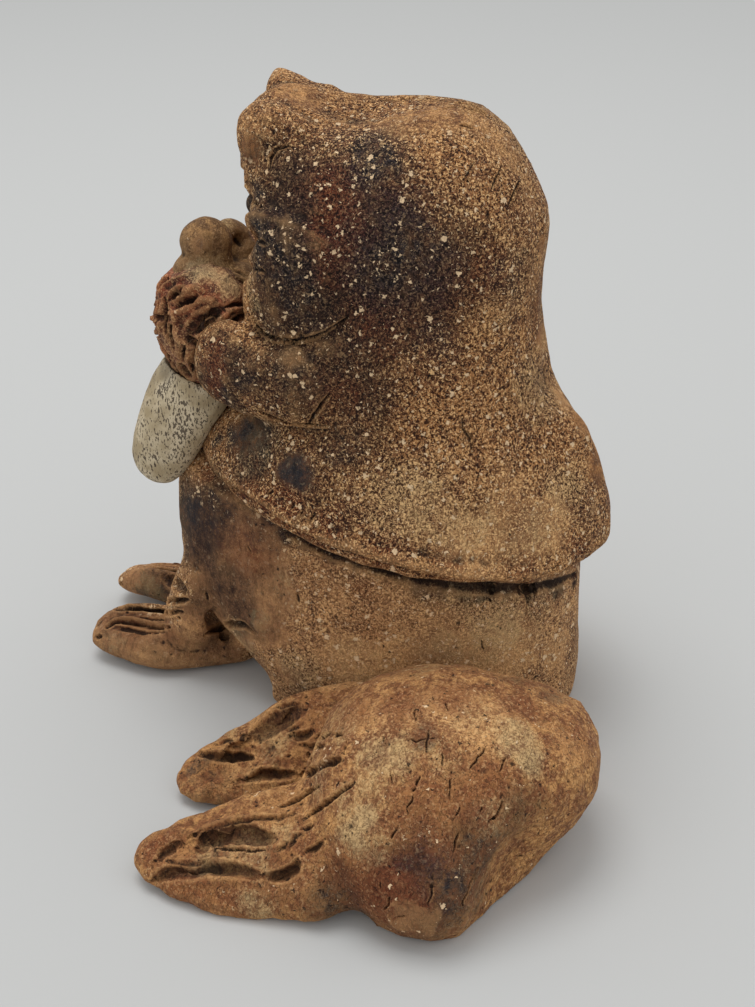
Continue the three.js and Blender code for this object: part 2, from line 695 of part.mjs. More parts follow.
for (const [word, side] of Object.entries(SIDES)) {
  const marks = gouges(padStations(side), PAD_BLUNT, marksFor(side, padMarks));
  const pad = cut(padShape(side, 0), hoodGrown, muzzleGrown, ...jowlsGrown, ...marks);
  place(`whisker_pad_${word}`, pad, colours.pad);
}
const padsGrown = both((side) => padShape(side, SEAM));

// Nose, two teardrops of clay on the muzzle, with a nostril pressed into the inner side of
// each. The right teardrop sits a little lower and further back than the left one
const NOSE_SINK = 1.1;
const NOSE_DROP = 1.5;
const noseZ = MUZZLE_Z + MUZZLE_HALF_HEIGHT + NOSE_RADIUS - NOSE_SINK;

function noseLobe(side) {
  const drop = side < 0 ? NOSE_DROP : 0;
  const y = (reach) => -HEAD_FRONT - NOSE_REACH * reach;
  const z = (rise) => noseZ - drop + NOSE_RADIUS * rise;
  const wide = NOSE_RADIUS;
  const high = NOSE_RADIUS * 1.17;
  const stations = [
    { x: side * NOSE_X * 0.92, y: y(1) + drop, z: z(0), wide, high, roll: 0 },
    { x: side * NOSE_X, y: y(0.75) + drop, z: z(0.22), wide, high, roll: 0 },
    { x: side * NOSE_X * 1.17, y: y(0.03), z: z(-0.43), wide: wide * 0.78, high: high * 0.67, roll: 0 },
  ];
  return solid(rolled(stations, { around: 12, along: 6, blunt: 2.1 }));
}

function nostril(side) {
  const y = -HEAD_FRONT - NOSE_REACH * 0.4;
  const z = noseZ + NOSE_RADIUS * 0.22;
  const wide = NOSTRIL_RADIUS;
  const stations = [
    { x: side * NOSE_X * 0.17, y, z, wide, high: wide * 1.4, roll: 0 },
    { x: side * NOSE_X * 0.75, y, z, wide: wide * 0.88, high: wide * 1.25, roll: 0 },
  ];
  return solid(rolled(stations, { around: 10, along: 4, blunt: 3 }));
}
for (const [word, side] of Object.entries(SIDES)) {
  const lobe = cut(noseLobe(side), hoodGrown, muzzleGrown, ...padsGrown, ...sockets, nostril(side));
  place(`nose_${word}`, lobe, colours.face);
}

// Tusks, pale stubby cones that hang from under the whisker pads
function tuskShape(side, grow) {
  const rootY = -HEAD_FRONT - MUZZLE_REACH * 0.75;
  const rootZ = MUZZLE_Z - MUZZLE_HALF_HEIGHT * 0.71;
  const profile = [
    { share: 0, wide: 0.94, high: 1.375 },
    { share: 0.35, wide: 0.925, high: 1.2 },
    { share: 0.7, wide: 0.875, high: 1 },
    { share: 1, wide: 0.775, high: 0.875 },
  ];
  const stations = profile.map(({ share, wide, high }) => ({
    x: side * TUSK_X * (1 + 0.087 * share),
    y: rootY - share * TUSK_LENGTH * Math.sin(degToRad(TUSK_LEAN)),
    z: rootZ - share * TUSK_LENGTH * Math.cos(degToRad(TUSK_LEAN)),
    wide: TUSK_RADIUS * wide,
    high: TUSK_RADIUS * high,
    roll: 0,
  }));
  return solid(rolled(stations, { around: 14, along: 8, blunt: 3.2, grow }));
}
const tuskHolders = [hoodGrown, muzzleGrown, torsoGrown, ...padsGrown, ...jowlsGrown];
for (const [word, side] of Object.entries(SIDES)) {
  place(`tusk_${word}`, cut(tuskShape(side, 0), ...tuskHolders), colours.tusk, 0.8);
}

// Chin, a small pad between the tusks
function chinShape() {
  const z = MUZZLE_Z - MUZZLE_HALF_HEIGHT - CHIN_HALF_WIDTH * 0.19;
  const wide = CHIN_HALF_WIDTH;
  const y = (reach) => -HEAD_FRONT - CHIN_REACH * reach;
  const stations = [
    { x: 0, y: y(-0.67), z, wide, high: wide * 0.88, roll: 0 },
    { x: 0, y: y(1), z, wide: wide * 0.88, high: wide * 0.75, roll: 0 },
  ];
  return solid(rolled(stations, { around: 14, along: 8, blunt: 3 }));
}
const tusksGrown = both((side) => tuskShape(side, SEAM));
place("chin", cut(chinShape(), ...tuskHolders, ...tusksGrown), colours.face);

// Eyes, small balls set in their sockets
for (const [word, side] of Object.entries(SIDES)) {
  place(`eye_${word}`, eyeball(side, 0), colours.eye, 0.5);
}

// The origin lies on the floor under the middle of the whole figure
const bounds = new THREE.Box3().setFromObject(figure);
const middle = bounds.getCenter(new THREE.Vector3());
figure.position.set(-middle.x, -middle.y, -bounds.min.z);

export default figure;
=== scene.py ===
# %% [markdown]
# # A walrus in coarse stoneware
# The real walrus is hand built from slabs and rolls of a clay full of coarse grog, gouged
# with a loop tool, washed with iron and fired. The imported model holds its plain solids.
# This lesson turns them into clay: each piece is a fine copy of its solids, fused and
# smeared as soft clay is, then gouged, cracked and pitted, and given a stoneware finish.

import math

import bmesh
import bpy
import numpy as np
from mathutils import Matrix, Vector, noise
from mathutils.bvhtree import BVHTree
from mathutils.kdtree import KDTree


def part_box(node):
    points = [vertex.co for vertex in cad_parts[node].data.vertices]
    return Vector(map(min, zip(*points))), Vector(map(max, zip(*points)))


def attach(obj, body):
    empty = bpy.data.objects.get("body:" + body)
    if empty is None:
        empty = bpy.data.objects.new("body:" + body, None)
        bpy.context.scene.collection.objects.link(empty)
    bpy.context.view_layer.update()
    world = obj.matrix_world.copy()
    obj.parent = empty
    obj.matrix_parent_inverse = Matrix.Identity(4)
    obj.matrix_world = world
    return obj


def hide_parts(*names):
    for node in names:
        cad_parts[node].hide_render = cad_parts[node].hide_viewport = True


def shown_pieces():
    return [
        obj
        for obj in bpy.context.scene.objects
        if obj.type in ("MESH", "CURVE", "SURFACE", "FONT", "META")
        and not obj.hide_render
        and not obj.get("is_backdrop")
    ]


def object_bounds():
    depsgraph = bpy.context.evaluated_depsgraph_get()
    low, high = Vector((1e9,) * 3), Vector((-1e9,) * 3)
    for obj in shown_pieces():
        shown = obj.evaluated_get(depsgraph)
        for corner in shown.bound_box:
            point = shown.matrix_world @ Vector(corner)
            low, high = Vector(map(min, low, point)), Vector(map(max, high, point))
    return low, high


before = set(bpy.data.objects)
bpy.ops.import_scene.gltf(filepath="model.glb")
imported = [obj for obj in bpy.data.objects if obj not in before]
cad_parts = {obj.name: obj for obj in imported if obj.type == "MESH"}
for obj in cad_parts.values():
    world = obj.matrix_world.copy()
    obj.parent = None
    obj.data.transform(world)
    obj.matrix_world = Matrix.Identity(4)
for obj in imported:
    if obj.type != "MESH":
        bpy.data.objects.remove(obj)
solid_low, solid_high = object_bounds()
bpy.ops.object.select_all(action="DESELECT")
MM = 0.001
print("solids", len(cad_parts), "from", solid_low, "to", solid_high)

# %% [markdown]
# ## The camera comes first
# The photograph looks down on the walrus's left side. Marks are placed on the clay by
# looking through the photograph's pixels, so the camera has to stand before anything else.
# The long side of the picture is its height, and that is the side a lens is measured on.

# %% Camera
PHOTO_WIDE = 755
PHOTO_HIGH = 1007
VIEW_AZIMUTH = math.radians(104)
VIEW_ELEVATION = math.radians(29)
VIEW_ANGLE = math.radians(38)
VIEW_TARGET = Vector((0.0130, 0.0177, 0.0700))
VIEW_DISTANCE = 0.3016
SENSOR = 36

back = Vector((
    math.sin(VIEW_AZIMUTH) * math.cos(VIEW_ELEVATION),
    -math.cos(VIEW_AZIMUTH) * math.cos(VIEW_ELEVATION),
    math.sin(VIEW_ELEVATION),
))
right = Vector((0, 0, 1)).cross(back).normalized()
up = back.cross(right)
eye_point = VIEW_TARGET + back * VIEW_DISTANCE
bpy.ops.object.camera_add(location=eye_point)
camera = bpy.context.object
camera.rotation_mode = "QUATERNION"
camera.rotation_quaternion = (-back).to_track_quat("-Z", "Y")
camera.data.sensor_width = SENSOR
camera.data.lens = SENSOR / 2 / math.tan(VIEW_ANGLE / 2)
bpy.context.scene.camera = camera
print("camera", eye_point, "lens", camera.data.lens)

# %% [markdown]
# ## Looking through a pixel
# A pixel of the photograph is a line of sight from the camera. Where that line first meets
# the clay is the place of the mark that the photograph shows there. A search tree over the
# faces finds it fast.


# %% Lines of sight
def sight(pixel):
    """The direction from the camera through a pixel of the photograph"""
    reach = math.tan(VIEW_ANGLE / 2) / (PHOTO_HIGH / 2)
    across = (pixel[0] - PHOTO_WIDE / 2) * reach
    above = (PHOTO_HIGH / 2 - pixel[1]) * reach
    return (right * across + up * above - back).normalized()


def tree_of(piece):
    corners = [v.co for v in piece.data.vertices]
    return BVHTree.FromPolygons(corners, [tuple(p.vertices) for p in piece.data.polygons])


def touched(tree, pixel):
    """Where the line of sight through a pixel first meets the clay, or None"""
    return tree.ray_cast(eye_point, sight(pixel))[0]


middle_x = (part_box("hood")[0].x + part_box("hood")[1].x) / 2


def mirrored(tree, point):
    """The same place on the walrus's other side"""
    other = Vector((2 * middle_x - point.x, point.y, point.z))
    return tree.find_nearest(other)[0]


STROKE_STEP = 1.5  # pixels


def line_on(tree, pixels, mirror=False, wobble=0.0):
    """Points along a stroke of the photograph, laid on the clay, wobbling by some mm"""
    points = []
    for start, end in zip(pixels, pixels[1:]):
        length = math.dist(start, end)
        count = max(1, round(length / STROKE_STEP))
        for i in range(count + 1):
            pixel = [a + (b - a) * i / count for a, b in zip(start, end)]
            found = touched(tree, pixel)
            if found is not None:
                point = mirrored(tree, found) if mirror else found
                points.append(point + noise.noise_vector(point / (1.4 * MM)) * wobble * MM)
    return np.array(points)


# %% [markdown]
# ## Soft clay from plain solids
# Clay pieces that were pressed together and smeared have no seam, so their solids are
# copied, swollen until they touch and remade as one even skin by voxels. Smoothing then
# takes the flats out of the solids. Swelling past the gouges and shrinking back heals them,
# so that each gouge can be cut again, where the photograph has it.


# %% Clay from solids
def activate(piece):
    bpy.ops.object.select_all(action="DESELECT")
    piece.select_set(True)
    bpy.context.view_layer.objects.active = piece


def modify(piece, kind, **settings):
    """Adds a modifier, sets it and applies it"""
    activate(piece)
    modifier = piece.modifiers.new(kind.lower(), kind)
    for key, value in settings.items():
        setattr(modifier, key, value)
    bpy.ops.object.modifier_apply(modifier=modifier.name)


def swell(piece, by):
    modify(piece, "DISPLACE", strength=by, mid_level=0)


def remade(piece, voxel):
    modify(piece, "REMESH", mode="VOXEL", voxel_size=voxel)


def merged_copy(node, lap):
    """A copy of a solid with its loose triangles joined, swollen by lap"""
    copy = bpy.data.objects.new("copy_" + node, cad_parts[node].data.copy())
    copy.data.materials.clear()
    bpy.context.scene.collection.objects.link(copy)
    activate(copy)
    bpy.ops.object.mode_set(mode="EDIT")
    bpy.ops.mesh.select_all(action="SELECT")
    bpy.ops.mesh.remove_doubles(threshold=MM / 1000)
    bpy.ops.object.mode_set(mode="OBJECT")
    swell(copy, lap)
    return copy


def lump(pixel, node, radius, stretch=(1, 1, 1), twin=False):
    """A ball of clay at a pixel of the photograph, as far away as the middle of a node, or the
    twin of that ball on the walrus's other side"""
    low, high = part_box(node)
    away = sight(pixel)
    centre = eye_point + away * ((low + high) / 2 - eye_point).dot(away)
    if twin:
        centre.x = 2 * middle_x - centre.x
    bpy.ops.object.select_all(action="DESELECT")
    bpy.ops.mesh.primitive_uv_sphere_add(
        segments=48, ring_count=24, radius=radius * MM, location=centre, scale=stretch
    )
    bpy.ops.object.transform_apply(location=True, rotation=True, scale=True)
    return bpy.context.object


def clay(name, nodes, voxel, lap=0.25 * MM, heal=0.0, rounds=6, lumps=()):
    """One piece of clay from the solids of some nodes, and from lumps of its own"""
    copies = [merged_copy(node, lap) for node in nodes] + list(lumps)
    activate(copies[0])
    for copy in copies:
        copy.select_set(True)
    if len(copies) > 1:
        bpy.ops.object.join()
    piece = bpy.context.object
    piece.name = name
    piece.data.name = name
    if heal:
        swell(piece, heal)
        remade(piece, voxel * 1.5)
        swell(piece, -heal)
    remade(piece, voxel)
    swell(piece, -lap * 0.6)
    modify(piece, "SMOOTH", factor=0.5, iterations=rounds)
    print(name, "from", nodes, "has", len(piece.data.polygons), "faces")
    return piece


# %% [markdown]
# ## Reading and moving the skin
# Hand work on the clay moves the points of its skin. Reading all of them as one array lets
# a single sum move a hundred thousand points at once.


# %% Skin
def skin_of(piece):
    """The places and normals of all points of a piece"""
    count = len(piece.data.vertices)
    places = np.empty(count * 3, np.float32)
    normals = np.empty(count * 3, np.float32)
    piece.data.vertices.foreach_get("co", places)
    piece.data.vertices.foreach_get("normal", normals)
    return places.reshape(-1, 3).astype(float), normals.reshape(-1, 3).astype(float)


def set_skin(piece, places):
    """Moves all points of a piece, and keeps them inside the box of the solids"""
    inside = np.clip(places, np.array(solid_low), np.array(solid_high))
    piece.data.vertices.foreach_set("co", inside.astype(np.float32).ravel())
    piece.data.update()


def edges_of(piece):
    pairs = np.empty(len(piece.data.edges) * 2, np.int32)
    piece.data.edges.foreach_get("vertices", pairs)
    return pairs.reshape(-1, 2)


def relaxed(places, pairs, rounds, weight=None):
    """The places after each point has moved to the middle of its neighbours, some times"""
    count = len(places)
    a, b = pairs[:, 0], pairs[:, 1]
    ties = np.bincount(a, minlength=count) + np.bincount(b, minlength=count)
    moved = places.copy()
    for _ in range(rounds):
        total = np.empty_like(moved)
        for axis in range(3):
            total[:, axis] = np.bincount(a, moved[b, axis], count) + np.bincount(b, moved[a, axis], count)
        target = total / ties[:, None]
        moved = target if weight is None else moved + (target - moved) * weight[:, None]
    return moved


def clouds(places, size, octaves=2, shift=0.0):
    """A soft random value, from about -1 to 1, at each place"""
    scaled = places / size + shift
    return np.array([noise.fractal(Vector(p), 1.0, 2.0, octaves) for p in scaled])


def smear(piece, node_a, node_b, reach, rounds=24, spared=()):
    """Smooths the clay where two of its solids met, but not near the spared (place, radius)"""
    places, _ = skin_of(piece)
    low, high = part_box(node_b)
    inside = (places > np.array(low) - 2 * reach) & (places < np.array(high) + 2 * reach)
    near = np.nonzero(inside.all(1))[0]
    weight = np.zeros(len(places))
    weight[near] = 0.6
    for node in (node_a, node_b):
        tree = tree_of(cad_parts[node])
        gap = np.array([tree.find_nearest(Vector(places[i]))[3] for i in near])
        weight[near] *= np.clip(1.5 - gap / reach, 0, 1)
    for place, radius in spared:
        gap = np.linalg.norm(places - np.array(place), axis=1) / radius
        weight *= np.clip(gap * 2 - 1, 0, 1)
    set_skin(piece, relaxed(places, edges_of(piece), rounds, weight))


# %% [markdown]
# ## Gouges and cracks
# A loop tool leaves a leaf-shaped groove with a small burr on each side, and a drying crack
# is the same mark, thin and steep. Each one is a stroke over pixels of the photograph, with
# its real width and depth. The skin near it is divided first, so that a thin crack stays
# sharp, and then pushed in.


# %% Strokes
def refine(piece, lines, reach, cuts=1):
    """Divides the faces that lie near some lines"""
    points = np.concatenate([line for line in lines if len(line)])
    tree = KDTree(len(points))
    for i, point in enumerate(points):
        tree.insert(point, i)
    tree.balance()
    activate(piece)
    bpy.context.tool_settings.mesh_select_mode = (False, False, True)
    for face in piece.data.polygons:
        face.select = tree.find(face.center)[2] < reach
    bpy.ops.object.mode_set(mode="EDIT")
    bpy.ops.mesh.subdivide(number_cuts=cuts)
    bpy.ops.mesh.select_all(action="DESELECT")
    bpy.ops.object.mode_set(mode="OBJECT")


def press_lines(places, lines, fold=1.0):
    """How far each point goes in under lines of (points, width, depth, burr, steepness), and
    how far it comes out at their burrs, or on a ridge, which has a depth below 0. Above 1, fold makes the lower wall slope, as where one fold of clay lies over the next"""
    groove = np.zeros(len(places))
    burrs = np.zeros(len(places))
    for points, wide, deep, burr, steep in lines:
        reach = wide * 1.2 * fold
        low, high = points.min(0) - reach, points.max(0) + reach
        near = np.nonzero(((places > low) & (places < high)).all(1))[0]
        if not len(near):
            continue
        gaps = np.linalg.norm(places[near, None, :] - points[None, :, :], axis=2)
        nearest = gaps.argmin(1)
        gap = gaps.min(1)
        share = nearest / max(len(points) - 1, 1)
        leaf = np.sin(np.pi * np.clip(share * 0.94 + 0.03, 0, 1)) ** 0.55
        below = (places[near] - points[nearest]) @ np.array(up) < 0
        across = gap / (wide / 2 * (0.45 + 0.55 * leaf)) / np.where(below, fold, 1)
        depth = max(deep, 0) * leaf * np.clip(1 - across**2, 0, 1) ** steep
        rise = burr * abs(deep) * leaf * np.exp(-(((across - 1.35) / 0.38) ** 2))
        if deep < 0:
            rise = -deep * leaf * np.exp(-(across**2) * 1.5)
        groove[near] = np.maximum(groove[near], depth)
        burrs[near] = np.maximum(burrs[near], rise)
    return groove, burrs * (groove < 0.1 * MM)


def remember_cut(piece, groove):
    """Keeps the depth of the cuts, in mm, because the finish paints their depth dark as shade"""
    layer = piece.data.attributes.get("cut") or piece.data.attributes.new("cut", "FLOAT", "POINT")
    before = np.empty(len(groove), np.float32)
    layer.data.foreach_get("value", before)
    layer.data.foreach_set("value", np.maximum(before, groove / MM).astype(np.float32))


def carve(piece, strokes, divide=0, mirror=False, fold=1.0, wobble=0.15):
    """Cuts strokes into a piece. A stroke is (pixels, width mm, depth mm, burr share, steepness)"""
    tree = tree_of(piece)
    lines = []
    for pixels, wide, deep, burr, steep in strokes:
        for other in (False, True) if mirror else (False,):
            points = line_on(tree, pixels, other, wobble)
            if len(points) > 1:
                lines.append((points, wide * MM, deep * MM, burr, steep))
    if divide:
        refine(piece, [line[0] for line in lines], max(line[1] for line in lines) * 0.9, divide)
    places, normals = skin_of(piece)
    groove, burrs = press_lines(places, lines, fold)
    set_skin(piece, places + normals * (burrs - groove)[:, None])
    remember_cut(piece, groove)
    print(piece.name, "carved with", len(lines), "strokes, deepest", round(groove.max() / MM, 2), "mm")


def ledge(piece, pixels, middle, rise, drop, reach, mirror=True):
    """Lets the clay round the middle pixel overlap the clay beyond a stroke, in mm"""
    tree = tree_of(piece)
    near_side = touched(tree, middle)
    sides = [(line_on(tree, pixels), near_side)]
    if mirror:
        sides.append((line_on(tree, pixels, True), mirrored(tree, near_side)))
    refine(piece, [points for points, _ in sides], 1.2 * MM)
    places, normals = skin_of(piece)
    moved = places.copy()
    for points, centre in sides:
        far = reach * MM * 2.5
        low, high = points.min(0) - far, points.max(0) + far
        near = np.nonzero(((places > low) & (places < high)).all(1))[0]
        gaps = np.linalg.norm(places[near, None, :] - points[None, :, :], axis=2)
        nearest = gaps.argmin(1)
        gap = gaps.min(1) / (reach * MM)
        fade = np.sin(np.pi * np.clip(nearest / len(points) * 0.92 + 0.04, 0, 1)) ** 0.5
        to_line = np.linalg.norm(points[nearest] - np.array(centre), axis=1)
        to_place = np.linalg.norm(places[near] - np.array(centre), axis=1)
        side = np.clip((to_line - to_place) / (0.3 * MM), -1, 1)
        height = np.where(side > 0, rise * side, drop * side) * np.exp(-(gap**2)) * fade
        moved[near] += normals[near] * (height * MM)[:, None]
    set_skin(piece, moved)


def mould(piece, marks, mirror=False):
    """Raises or dents a piece. A mark is (pixel, radius mm, height mm)"""
    tree = tree_of(piece)
    places, normals = skin_of(piece)
    moved = places.copy()
    for pixel, radius, height in marks:
        point = touched(tree, pixel)
        if point is None:
            continue
        spots = [point, mirrored(tree, point)] if mirror else [point]
        for spot in spots:
            gap = np.linalg.norm(places - np.array(spot), axis=1) / (radius * MM)
            moved += normals * (height * MM * np.exp(-(gap**2)))[:, None]
    set_skin(piece, moved)


def push(piece, moves, mirror=False):
    """Moves the clay round a pixel, or round a place in mm. A move is (where, radius mm, (x, y, z) mm)"""
    tree = tree_of(piece)
    places, _ = skin_of(piece)
    moved = places.copy()
    for where, radius, way in moves:
        point = touched(tree, where) if len(where) == 2 else Vector(where) * MM
        if point is None:
            continue
        spots = [(point, way)]
        if mirror:
            spots.append((mirrored(tree, point), (-way[0], way[1], way[2])))
        for spot, step in spots:
            gap = np.linalg.norm(places - np.array(spot), axis=1) / (radius * MM)
            moved += np.exp(-(gap**2))[:, None] * np.array(step) * MM
    set_skin(piece, moved)


rng = np.random.default_rng(7)


def pit(piece, count, small, large, deep, where=None):
    """Pricks small random holes, as burnt-out and torn-out grains leave"""
    places, normals = skin_of(piece)
    tree = KDTree(len(places))
    for i, place in enumerate(places):
        tree.insert(place, i)
    tree.balance()
    chance = np.ones(len(places)) if where is None else where
    picks = rng.choice(len(places), count, replace=False, p=chance / chance.sum())
    depth = np.zeros(len(places))
    for pick in picks:
        radius = rng.uniform(small, large) * MM
        fall = deep * radius
        for _, i, gap in tree.find_range(places[pick], radius):
            depth[i] = max(depth[i], fall * (1 - (gap / radius) ** 2))
    set_skin(piece, places - normals * depth[:, None])


def weather(piece, waves, knead, grain):
    """Unevenness of hand work: slow waves, kneaded lumps and the grain of the body, in mm"""
    places, normals = skin_of(piece)
    height = waves * clouds(places, 17 * MM) + knead * clouds(places, 5.5 * MM, 2, 3.1)
    height += grain * clouds(places, 1.3 * MM, 2, 7.7)
    set_skin(piece, places + normals * (height * MM)[:, None])


# %% [markdown]
# ## Stains, painted shade and painted light
# Wood ash, iron wash and smoke colour a stoneware piece in soft patches. Some patches are
# painted shade, under the hem of the cape and along the seam of the rump, and some are
# painted light, on the bottom of the torso beside the rump. Each patch is a pixel of the
# photograph, a radius in pixels and a strength. It becomes a place in space, and colours
# whatever clay lies near it. The far side carries the same patches mirrored, and a few
# more at random places keep the back from being plain.

# %% Patches seen in the photograph
SMOKE_AND_SHADE = [
    ((258, 232), 17, 0.8), ((256, 195), 10, 0.7), ((262, 155), 18, 0.35), ((290, 262), 22, 0.55),
    ((285, 225), 24, 0.35), ((300, 300), 22, 0.4), ((372, 150), 30, 0.7), ((345, 128), 20, 0.45),
    ((330, 150), 20, 0.25), ((400, 255), 48, 0.6), ((440, 215), 30, 0.35), ((380, 215), 26, 0.4),
    ((268, 325), 14, 0.4), ((218, 441), 9, 0.9), ((231, 433), 11, 0.9), ((246, 429), 11, 0.8), ((262, 432), 9, 0.6), ((225, 392), 9, 0.7), ((300, 372), 24, 0.3),
    ((252, 446), 22, 0.45), ((297, 477), 10, 1.0), ((290, 463), 12, 0.4),
    ((345, 455), 16, 0.4), ((352, 507), 16, 0.35), ((190, 505), 24, 0.65), ((215, 520), 30, 0.35),
    # The patches under the hem of the cape, at about y 585, are painted shade.
    ((265, 530), 22, 0.35), ((360, 560), 24, 0.4), ((430, 585), 18, 0.5), ((540, 590), 22, 0.5),
    ((500, 582), 20, 0.45), ((132, 597), 10, 0.6), ((170, 585), 8, 0.5), ((205, 790), 20, 0.3),
    ((240, 795), 20, 0.2), ((196, 765), 8, 0.6), ((424, 738), 12, 0.55), ((470, 905), 26, 0.45),
    ((425, 862), 22, 0.5), ((455, 885), 20, 0.5), ((345, 905), 22, 0.35), ((490, 860), 20, 0.4),
    ((155, 350), 12, 0.6), ((165, 372), 12, 0.6), ((586, 510), 12, 0.4), ((595, 480), 10, 0.3),
    ((484, 500), 14, 0.25), ((175, 640), 10, 0.2), ((297, 476), 15, 1.0), ((206, 243), 14, 0.45), ((240, 381), 12, 0.4), ((289, 471), 9, 1.0), ((301, 482), 9, 1.0), ((308, 474), 7, 0.9),
    ((251, 222), 9, 0.9), ((256, 252), 8, 0.8), ((255, 270), 6, 0.7), ((143, 597), 12, 0.6), ((300, 690), 10, 0.5), ((550, 697), 9, 0.5),
]
RUST = [
    ((203, 240), 12, 0.6),
    ((336, 190), 22, 0.8), ((342, 235), 26, 0.95), ((335, 270), 20, 0.6), ((300, 200), 14, 0.3),
    ((405, 205), 26, 0.5), ((488, 272), 20, 0.7), ((450, 285), 28, 0.5), ((385, 320), 30, 0.5),
    ((527, 215), 18, 0.45), ((430, 350), 34, 0.4), ((270, 100), 12, 0.5), ((212, 360), 16, 1.0),
    ((214, 385), 12, 0.9), ((190, 305), 18, 1.0), ((172, 325), 16, 0.9), ((165, 300), 14, 0.8),
    ((186, 350), 12, 0.7), ((200, 330), 12, 0.6), ((240, 485), 15, 0.6), ((285, 506), 15, 0.9),
    ((330, 528), 15, 0.9), ((385, 547), 15, 0.85), ((450, 562), 16, 0.8), ((520, 565), 16, 0.8),
    ((575, 545), 16, 0.8), ((603, 500), 16, 0.85), ((604, 470), 12, 0.6), ((340, 400), 24, 0.45),
    ((320, 580), 26, 0.45), ((370, 610), 30, 0.35), ((450, 698), 20, 0.75), ((400, 706), 20, 0.8),
    ((350, 716), 20, 0.7), ((310, 706), 16, 0.6), ((520, 708), 18, 0.6), ((575, 740), 20, 0.5),
    ((480, 790), 26, 0.7), ((430, 800), 24, 0.6), ((385, 890), 34, 0.9), ((350, 870), 20, 0.7),
    ((430, 845), 22, 0.7), ((595, 775), 20, 0.4), ((160, 845), 18, 0.8), ((185, 890), 24, 0.8),
    ((230, 900), 22, 0.5), ((280, 880), 22, 0.5), ((300, 850), 18, 0.4), ((215, 775), 14, 0.3),
    ((135, 630), 20, 0.7), ((170, 632), 18, 0.6), ((110, 625), 10, 0.5), ((265, 620), 12, 0.35),
    ((560, 650), 26, 0.3), ((330, 650), 24, 0.25), ((280, 800), 16, 0.35), ((320, 780), 18, 0.4),
]
BLOOM_AND_LIT = [
    # The patches on the bottom of the torso, at about y 650 to 668, are partly bloom and partly painted light, lifting
    # the shade of the rump.
    ((525, 533), 24, 0.5), ((445, 652), 20, 0.5), ((485, 650), 20, 0.5), ((318, 782), 14, 0.5), ((215, 858), 18, 0.6),
    ((362, 828), 17, 1.0), ((350, 800), 12, 0.6), ((372, 850), 14, 0.6), ((516, 742), 18, 0.75),
    ((533, 762), 13, 0.9), ((385, 755), 20, 0.7), ((372, 790), 18, 0.5), ((345, 735), 12, 0.4),
    ((500, 815), 18, 0.4), ((255, 905), 14, 0.6), ((275, 745), 16, 0.5), ((250, 850), 18, 0.5),
    ((285, 830), 12, 0.5), ((500, 625), 26, 0.75), ((470, 600), 24, 0.5), ((300, 668), 20, 0.55),
    ((360, 665), 26, 0.4), ((430, 665), 26, 0.35), ((235, 640), 18, 0.6), ((115, 640), 14, 0.4),
    ((150, 590), 16, 0.5), ((230, 275), 20, 0.5), ((222, 225), 12, 0.6), ((255, 300), 10, 0.4),
    ((410, 505), 34, 0.6), ((460, 525), 26, 0.5), ((245, 462), 14, 0.35), ((540, 520), 20, 0.35),
    ((440, 760), 16, 0.4), ((475, 720), 18, 0.35), ((340, 425), 14, 0.2),
]
WORN_AND_LIT = [
    # The patches on the bottom of the torso, at about y 630 to 665, are partly wear and partly painted light, lifting
    # the shade of the rump.
    ((440, 658), 24, 1.0), ((480, 655), 26, 1.0), ((385, 662), 24, 0.9), ((520, 662), 20, 0.8), ((340, 655), 20, 0.6),
    ((350, 665), 32, 0.8), ((420, 660), 34, 0.8), ((500, 655), 38, 0.9), ((555, 650), 22, 0.7), ((440, 630), 30, 0.6),
    ((430, 520), 34, 0.5), ((480, 545), 34, 0.8), ((540, 530), 32, 0.8), ((510, 505), 30, 0.6), ((520, 230), 24, 0.4),
    ((500, 540), 34, 0.5), ((440, 480), 34, 0.35), ((540, 500), 30, 0.4), ((400, 610), 30, 0.45), ((330, 590), 26, 0.4),
    ((460, 640), 34, 0.35), ((520, 640), 24, 0.35), ((480, 720), 30, 0.6), ((420, 710), 22, 0.5), ((380, 720), 20, 0.4),
    ((240, 770), 24, 0.35), ((260, 840), 26, 0.3), ((180, 640), 26, 0.4), ((140, 640), 20, 0.4), ((500, 320), 26, 0.35),
    ((440, 112), 30, 0.4), ((400, 112), 26, 0.4), ((480, 125), 24, 0.5), ((505, 150), 20, 0.5),
    ((360, 108), 16, 0.4), ((300, 85), 22, 0.5), ((340, 95), 18, 0.5), ((275, 80), 14, 0.4),
    ((530, 200), 16, 0.5), ((543, 260), 12, 0.5), ((548, 340), 14, 0.6), ((560, 400), 18, 0.8),
    ((580, 430), 18, 0.8), ((575, 470), 14, 0.4), ((203, 240), 14, 0.6), ((590, 700), 14, 0.6),
    ((575, 660), 14, 0.4), ((595, 740), 12, 0.4), ((570, 610), 12, 0.5),
]
